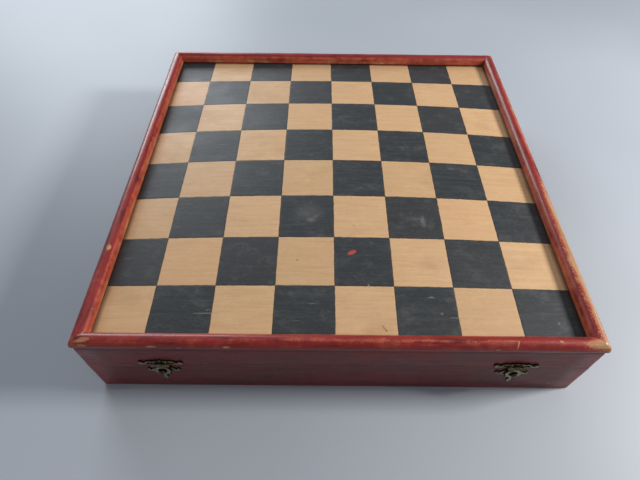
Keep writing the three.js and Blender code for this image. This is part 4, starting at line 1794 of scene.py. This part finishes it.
@dataclass(frozen=True)
class Turning:
    """A man's turned body as runs of smooth curve that meet at sharp edges."""

    rank: Rank
    sides: int = 56

    def runs(self) -> list[Array]:
        """The profile's runs, from the middle of the foot to the top.

        Returns:
            The runs of radius and height.
        """
        height, foot = self.rank.height, self.rank.foot
        waist, collar_at, collar = {
            Rank.PAWN: (0.36, 0.60, 0.68),
            Rank.ROOK: (0.50, 0.64, 0.66),
            Rank.KNIGHT: (0.62, 0.36, 0.74),
            Rank.BISHOP: (0.34, 0.62, 0.62),
            Rank.QUEEN: (0.34, 0.68, 0.64),
            Rank.KING: (0.34, 0.66, 0.64),
        }[self.rank]
        up, w, c = collar_at * height, waist * foot, collar * foot
        body = [
            np.array([[0, 0.35], [0.55 * foot, 0.3], [0.9 * foot, 0.0]]),
            spline([(0.9 * foot, 0.0), (0.985 * foot, 0.07 * foot), (foot, 0.17 * foot),
                    (0.95 * foot, 0.28 * foot)], 5),
            np.array([[0.95 * foot, 0.28 * foot], [0.82 * foot, 0.31 * foot]]),
            spline([(0.82 * foot, 0.31 * foot), (0.87 * foot, 0.40 * foot),
                    (0.83 * foot, 0.5 * foot), (0.72 * foot, 0.56 * foot)], 4),
            spline([(0.68 * foot, 0.58 * foot), (0.60 * foot, 0.80 * foot), (w * 1.12, 0.58 * up),
                    (w, 0.8 * up), (w * 1.06, 0.93 * up)], 8),
            spline([(w * 1.06, 0.93 * up), (0.72 * c, 0.955 * up), (c * 0.97, up - 0.2),
                    (c, up + 0.25), (0.9 * c, up + 0.75)], 4),
            spline([(0.74 * c, up + 0.8), (0.77 * c, up + 1.3), (0.68 * c, up + 1.9)], 4),
        ]
        return body + self._head(up + 1.9, 0.68 * c)

    def _head(self, start: float, radius: float) -> list[Array]:
        """The runs above the collar.

        Args:
            start: Where the head starts.
            radius: The radius there.

        Returns:
            The runs of radius and height.
        """
        height, foot = self.rank.height, self.rank.foot
        if self.rank is Rank.PAWN:
            ball = 0.58 * foot
            middle = height - ball
            low = -math.degrees(math.acos(min(0.62 * radius / ball, 1)))
            return [np.concatenate([[[0.62 * radius, start]], arc((0, middle), ball, low, 90, 22)])]
        if self.rank is Rank.ROOK:
            drum, sill = 0.7 * foot, 0.78 * height
            return [
                spline([(radius * 0.95, start), (0.5 * foot, 0.72 * height),
                        (0.54 * foot, 0.76 * height)], 5),
                spline([(0.6 * foot, 0.765 * height), (drum * 0.99, sill), (drum, sill + 1.2),
                        (drum, height)], 5),
                np.array([[drum, height], [0.68 * drum, height]]),
                np.array([[0.68 * drum, height], [0.68 * drum, height - 3]]),
                np.array([[0.68 * drum, height - 3], [0, height - 3.2]]),
            ]
        if self.rank is Rank.BISHOP:
            mitre, middle = 0.47 * foot, 0.79 * height
            return [
                spline([(0.6 * radius, start), (0.8 * mitre, 0.73 * height), (mitre, middle),
                        (0.86 * mitre, 0.85 * height), (0.52 * mitre, 0.905 * height),
                        (1.15, 0.935 * height)], 7),
                arc((0, height - 1.9), 1.9, -52, 90, 10),
            ]
        if self.rank is Rank.QUEEN:
            crown, rim = 0.6 * foot, 0.92 * height
            return [
                spline([(0.62 * radius, start), (0.38 * foot, 0.77 * height),
                        (0.44 * foot, 0.84 * height), (crown, rim)], 8),
                spline([(crown, rim), (0.9 * crown, rim - 0.2), (0.8 * crown, rim - 1.4)], 3),
                spline([(0.8 * crown, rim - 1.4), (0.55 * crown, rim + 0.6), (1.3, rim + 1.9)], 5),
                arc((0, height - 2.0), 2.0, -48, 90, 10),
            ]
        if self.rank is Rank.KING:
            crown, rim = 0.58 * foot, 0.86 * height
            return [
                spline([(0.64 * radius, start), (0.38 * foot, 0.73 * height),
                        (0.43 * foot, 0.79 * height), (crown, rim)], 8),
                spline([(crown, rim), (0.96 * crown, rim + 0.8), (0.82 * crown, rim + 1.1)], 3),
                spline([(0.78 * crown, rim + 1.1), (0.5 * crown, rim + 2.6),
                        (0.22 * crown, rim + 3.4), (0.0, rim + 3.5)], 5),
            ]
        return [np.array([[radius, start], [0, start + 1.4]])]

    def cast(self, shell: Shell) -> None:
        """Turns the runs and gives each kind its cuts.

        The rook's parapet is lowered in even steps round the drum, the bishop's mitre is pressed in
        along a slanting plane, and the queen's rim rises and falls with the angle.

        Args:
            shell: What the surface is added to.
        """
        angle = np.linspace(0, 2 * np.pi, self.sides, endpoint=False)
        height, foot = self.rank.height, self.rank.foot
        for profile in self.runs():
            r, h = profile[:, :1], profile[:, 1:]
            x, y, z = r * np.cos(angle), r * np.sin(angle), h + 0 * angle
            if self.rank is Rank.ROOK:
                notch = np.cos(6 * angle) > 0.35
                z = np.where((z > height - 0.5) & (r > 0.4 * foot), z - 2.4 * notch, z)
            if self.rank is Rank.BISHOP:
                slant = np.abs((z - 0.845 * height) * 0.82 - (x - 0.2 * foot) * 0.57)
                cut = np.exp(-((slant / 0.42) ** 2)) * smoothstep(x / (0.16 * foot))
                left = 1 - 0.30 * cut * (z > 0.74 * height)
                x, y = x * left, y * left
            if self.rank is Rank.QUEEN:
                rim = np.exp(-(((z - 0.92 * height) / 1.6) ** 2)) * (r > 0.45 * foot)
                z = z + rim * (0.9 * np.abs(np.cos(4.5 * angle)) - 0.9)
            shell.grid(np.stack([x, y, z], -1), around=True)


@dataclass
class Men(Fitted):
    """The thirty-two men, lying in the two compartments."""

    officer_pitch: float = 38.0
    pawn_pitch: float = 34.0
    officer_row: float = INSIDE - 3  # where the officers' feet stand, from the middle of the case
    pawn_row: float = 7.0
    grain_offset: tuple[float, float] = (-200.0, 200.0)
    rest_height: float = FLOOR_TOP + 0.03
    seed: int = 11

    def make(self) -> None:
        """Builds each kind once and lays its copies down."""
        wing = (Rank.ROOK, Rank.KNIGHT, Rank.BISHOP)
        order = (*wing, Rank.QUEEN, Rank.KING, *wing[::-1])
        shapes = {rank: self._shape(rank) for rank in Rank}
        chance = np.random.default_rng(self.seed)
        for army in Army:
            for index, rank in enumerate(order):
                number = f"_{order[: index + 1].count(rank)}" if order.count(rank) > 1 else ""
                spot = ((index - 3.5) * self.officer_pitch, -army.towards * self.officer_row)
                offset = chance.uniform(*self.grain_offset, 3)
                self._lay(shapes[rank], rank, army, number, spot, army.towards, offset)
            for index in range(8):
                number = f"_{index + 1}"
                spot = ((index - 3.5) * self.pawn_pitch, -army.towards * self.pawn_row)
                offset = chance.uniform(*self.grain_offset, 3)
                self._lay(shapes[Rank.PAWN], Rank.PAWN, army, number, spot, -army.towards, offset)

    def _shape(self, rank: Rank) -> Shell:
        """One man, standing at the origin.

        Args:
            rank: Its kind.

        Returns:
            The standing man.
        """
        shell = Shell(rank.word)
        Turning(rank).cast(shell)
        if rank is Rank.KING:
            self._cross(shell)
        if rank is Rank.KNIGHT:
            HorseHead(rank).cast(shell)
        return shell

    @staticmethod
    def _cross(shell: Shell) -> None:
        """The king's cross: two flared bars, as thick as they are wide at the middle.

        Each bar is a box whose width grows with the square of the distance from its middle.

        Args:
            shell: What the surface is added to.
        """
        top = Rank.KING.height
        t = np.linspace(-1, 1, 15)
        angle = np.radians(np.arange(0, 360, 30) + 15)
        square = np.stack([np.cos(angle), np.sin(angle)], -1)
        square = np.sign(square) * np.abs(square) ** 0.45
        for upright in (True, False):
            reach = 4.4 if upright else 3.3
            wide = 1.0 + 0.75 * t**2
            wide = np.concatenate([[0.0], wide, [0.0]])
            along = np.concatenate([[-1], t, [1]]) * reach
            a = wide[:, None] * square[:, 0]
            b = np.minimum(wide, 1.2)[:, None] * square[:, 1]
            c = along[:, None] + 0 * a
            middle = top - 4.9
            upright_bar, cross_bar = (a, b, c + middle - 0.1), (c, b * 0.98, a + middle + 0.6)
            shell.grid(np.stack(upright_bar if upright else cross_bar, -1), around=True)

    def _lay(
        self,
        shape: Shell,
        rank: Rank,
        army: Army,
        number: str,
        spot: tuple[float, float],
        heading: int,
        offset: Array,
    ) -> None:
        """Lays a man down on its foot's rim and its widest upper part.

        The lean is the least angle, seen from the rim, at which any higher point of the man would
        touch the floor: the drop in radius over the rise in height.

        Args:
            shape: The standing man.
            rank: Its kind.
            army: Its side.
            number: What follows its name, if there are several.
            spot: Where its foot is, in X and Y.
            heading: 1 if its head points to the back, -1 if to the front.
            offset: What is added to its grain, in millimetres.
        """
        points = np.concatenate(shape.points)
        out = points[:, 1]
        rim = 0.2 * rank.foot
        high = points[:, 2] > 0.45 * rank.height
        lean = np.arctan2(rank.foot - out[high], points[high, 2] - rim).min()
        turned = Matrix.Rotation(-math.pi / 2 - lean, 4, "X")
        spin = Matrix.Rotation(0.0 if heading > 0 else math.pi, 4, "Z")
        laid = points @ np.array(turned)[:3, :3].T
        lift = self.rest_height - laid[:, 2].min()
        place = Matrix.Translation((spot[0], spot[1], lift)) @ spin @ turned
        name = f"{army.word}_{rank.word}{number}"
        man = shape.named(f"{name}_turned")
        finish = self.finishes.boxwood if army is Army.WHITE else self.finishes.ebony
        piece = man.build([finish], place, crease=34, offset=offset)
        self.fit(piece, "box", army.slot, name)


@dataclass(frozen=True)
class HorseHead:
    """The knight's head: a neck, a head, ears and a mane, as bent tapering tubes."""

    rank: Rank
    sides: int = 28

    def cast(self, shell: Shell) -> None:
        """Adds the head's parts, its nose towards +X.

        Each part is a path with two half-widths, one in the plane of the head and one across it,
        carried round as ellipses square to the path.

        Args:
            shell: What the surface is added to.
        """
        neck = [(-0.02, 0.36, 0.60, 0.56), (-0.10, 0.46, 0.58, 0.52), (-0.16, 0.58, 0.54, 0.45),
                (-0.18, 0.70, 0.50, 0.40), (-0.13, 0.80, 0.44, 0.35), (-0.04, 0.87, 0.32, 0.28),
                (0.02, 0.915, 0.05, 0.05)]
        head = [(-0.22, 0.885, 0.05, 0.05), (-0.10, 0.86, 0.34, 0.28), (0.08, 0.815, 0.48, 0.36),
                (0.28, 0.765, 0.46, 0.34), (0.46, 0.715, 0.38, 0.30), (0.60, 0.68, 0.34, 0.28),
                (0.71, 0.65, 0.30, 0.25), (0.79, 0.628, 0.06, 0.07)]
        self._tube(shell, neck)
        self._tube(shell, head)
        ear = [(-0.16, 0.88, 0.13, 0.09), (-0.14, 0.92, 0.12, 0.09), (-0.10, 0.96, 0.09, 0.06),
               (-0.05, 0.992, 0.01, 0.01)]
        eye = [(0.16, 0.84, 0.02, 0.02), (0.19, 0.837, 0.08, 0.06), (0.25, 0.827, 0.08, 0.06),
               (0.28, 0.822, 0.02, 0.02)]
        for side in (-1, 1):
            self._tube(shell, ear, side * 0.24)
            self._tube(shell, eye, side * 0.32)
        for step in range(8):
            t = step / 7
            x, z = -0.60 - 0.06 * math.sin(t * math.pi) + 0.50 * t**2.4, 0.44 + 0.44 * t
            lock = [(x + 0.10, z + 0.03, 0.03, 0.03), (x + 0.03, z, 0.10, 0.15),
                    (x, z - 0.035, 0.07, 0.11), (x + 0.03, z - 0.06, 0.02, 0.02)]
            self._tube(shell, lock)

    def _tube(self, shell: Shell, path: Sequence[Sequence[float]], aside: float = 0.0) -> None:
        """Carries an ellipse along a path given in foot radii across and heights up.

        Args:
            shell: What the surface is added to.
            path: Across, up and the two half-widths.
            aside: How far out of the middle plane, in foot radii.
        """
        foot, height = self.rank.foot, self.rank.height
        p = spline(path, 6)
        x, z = p[:, 0] * foot, p[:, 1] * height
        wide, deep = np.abs(p[:, 2]) * foot, np.abs(p[:, 3]) * foot
        wide[[0, -1]] = deep[[0, -1]] = 0.0
        dx, dz = np.gradient(x), np.gradient(z)
        size = np.hypot(dx, dz) + TINY
        nx, nz = dz / size, -dx / size
        angle = np.linspace(0, 2 * np.pi, self.sides, endpoint=False)
        c, s = np.cos(angle), np.sin(angle)
        across = x[:, None] + (wide * nx)[:, None] * c
        up = z[:, None] + (wide * nz)[:, None] * c
        shell.grid(np.stack([across, aside * foot + deep[:, None] * s, up], -1), around=True)


# ---------------- the studio


def aimed(right: Array, up: Array, back: Array, spot: Sequence[float]) -> Matrix:
    """The matrix of something at a spot, its columns the three axes and the spot."""
    rows = np.stack([right, up, back], 1).tolist()
    return Matrix([(*row, e) for row, e in zip(rows, spot)] + [(0, 0, 0, 1)])


@dataclass(frozen=True)
class Window:
    """A rectangular soft light: its place, aim and size in metres, its power in watts."""

    name: str
    spot: tuple[float, float, float]
    aim: tuple[float, float, float]
    size: tuple[float, float]
    power: float
    colour: Colour

    def hang(self) -> None:
        """Hangs the light facing its aim, its upper side level."""
        data = bpy.data.lights.new(self.name, "AREA")
        data.shape = "RECTANGLE"
        (data.size, data.size_y), data.energy, data.color = self.size, self.power, self.colour
        light = bpy.data.objects.new(self.name, data)
        back = np.asarray(self.spot) - np.asarray(self.aim)
        back = back / np.linalg.norm(back)
        side = np.cross((0, 0, 1), back)
        side = side / np.linalg.norm(side)
        light.matrix_world = aimed(side, np.cross(back, side), back, self.spot)
        bpy.context.scene.collection.objects.link(light)


@dataclass
class Studio:
    """A plain pale floor, soft light from the right and from behind on the left, and the camera."""

    focal: float = 26.13
    sensor: float = 36.0
    eye: tuple[float, float, float] = (-0.01418, -0.28808, 0.32422)
    forward: tuple[float, float, float] = (0.004283, 0.61948, -0.785001)
    right: tuple[float, float, float] = (0.999939, 0.005346, 0.009674)
    room: Colour = (0.82, 0.88, 0.96)
    room_strength: float = 0.28
    windows: tuple[Window, ...] = (
        Window("side_window", (0.84, -0.08, 0.61), (0, 0, 0.03), (0.18,) * 2, 9.6, (1, 0.985, 0.96)),
        Window("back_window", (-0.72, 1.25, 0.62), (-0.1, 0, 0.03), (0.9, 0.6), 13, (0.9, 0.95, 1)),
        Window("ceiling", (-0.1, 0.5, 1.8), (0, 0, 0), (2, 2), 2.5, (0.97, 0.98, 1)),
    )

    def make(self) -> None:
        """Sets everything up."""
        self._camera()
        self._floor()
        for window in self.windows:
            window.hang()
        world = bpy.data.worlds.new("soft_room")
        world.use_nodes = True
        background = world.node_tree.nodes["Background"]
        background.inputs["Color"].default_value = (*self.room, 1)
        background.inputs["Strength"].default_value = self.room_strength
        bpy.context.scene.world = world
        bpy.context.scene.view_settings.view_transform = "Standard"

    def _camera(self) -> None:
        """Stands the camera before and above the case, looking down at the board.

        Its axes are the right-hand direction, then forward made square to it, then up.
        """
        data = bpy.data.cameras.new("camera")
        data.lens, data.sensor_width = self.focal, self.sensor
        data.clip_start = 0.01
        right = np.array(self.right) / np.linalg.norm(self.right)
        forward = np.array(self.forward)
        forward -= forward @ right * right
        forward /= np.linalg.norm(forward)
        camera = bpy.data.objects.new("camera", data)
        camera.matrix_world = aimed(right, np.cross(right, forward), -forward, self.eye)
        bpy.context.scene.collection.objects.link(camera)
        bpy.context.scene.camera = camera

    @staticmethod
    def _floor() -> None:
        """A wide plain floor at the level the case stands on."""
        data = bpy.data.meshes.new("floor")
        reach = 6.0
        corners = [(-reach, -reach, 0), (reach, -reach, 0), (reach, reach, 0), (-reach, reach, 0)]
        data.from_pydata(corners, [], [(0, 1, 2, 3)])
        n = Nodes("pale_floor")
        tone = n.noise(n.mapped(n.place(), (3, 3, 3)), detail=2)
        colour = n.mix(n.span(tone, 0.3, 0.7), linear(168, 174, 182), linear(176, 182, 190))
        data.materials.append(n.finish(colour, 0.5, n.bump(tone, 0.01 * MM)))
        floor = bpy.data.objects.new("floor", data)
        bpy.context.scene.collection.objects.link(floor)


def main() -> None:
    """Builds the studio and the set."""
    logging.basicConfig(level=logging.INFO, format="%(name)s: %(message)s")
    Studio().make()
    finishes = Finishes.mixed()
    Case(finishes).make()
    for hand in Hand:
        Catch(finishes, hand).make()
    for hand in Hand:
        Hinge(finishes, hand).make()
    Men(finishes).make()


if __name__ == "__main__":
    main()
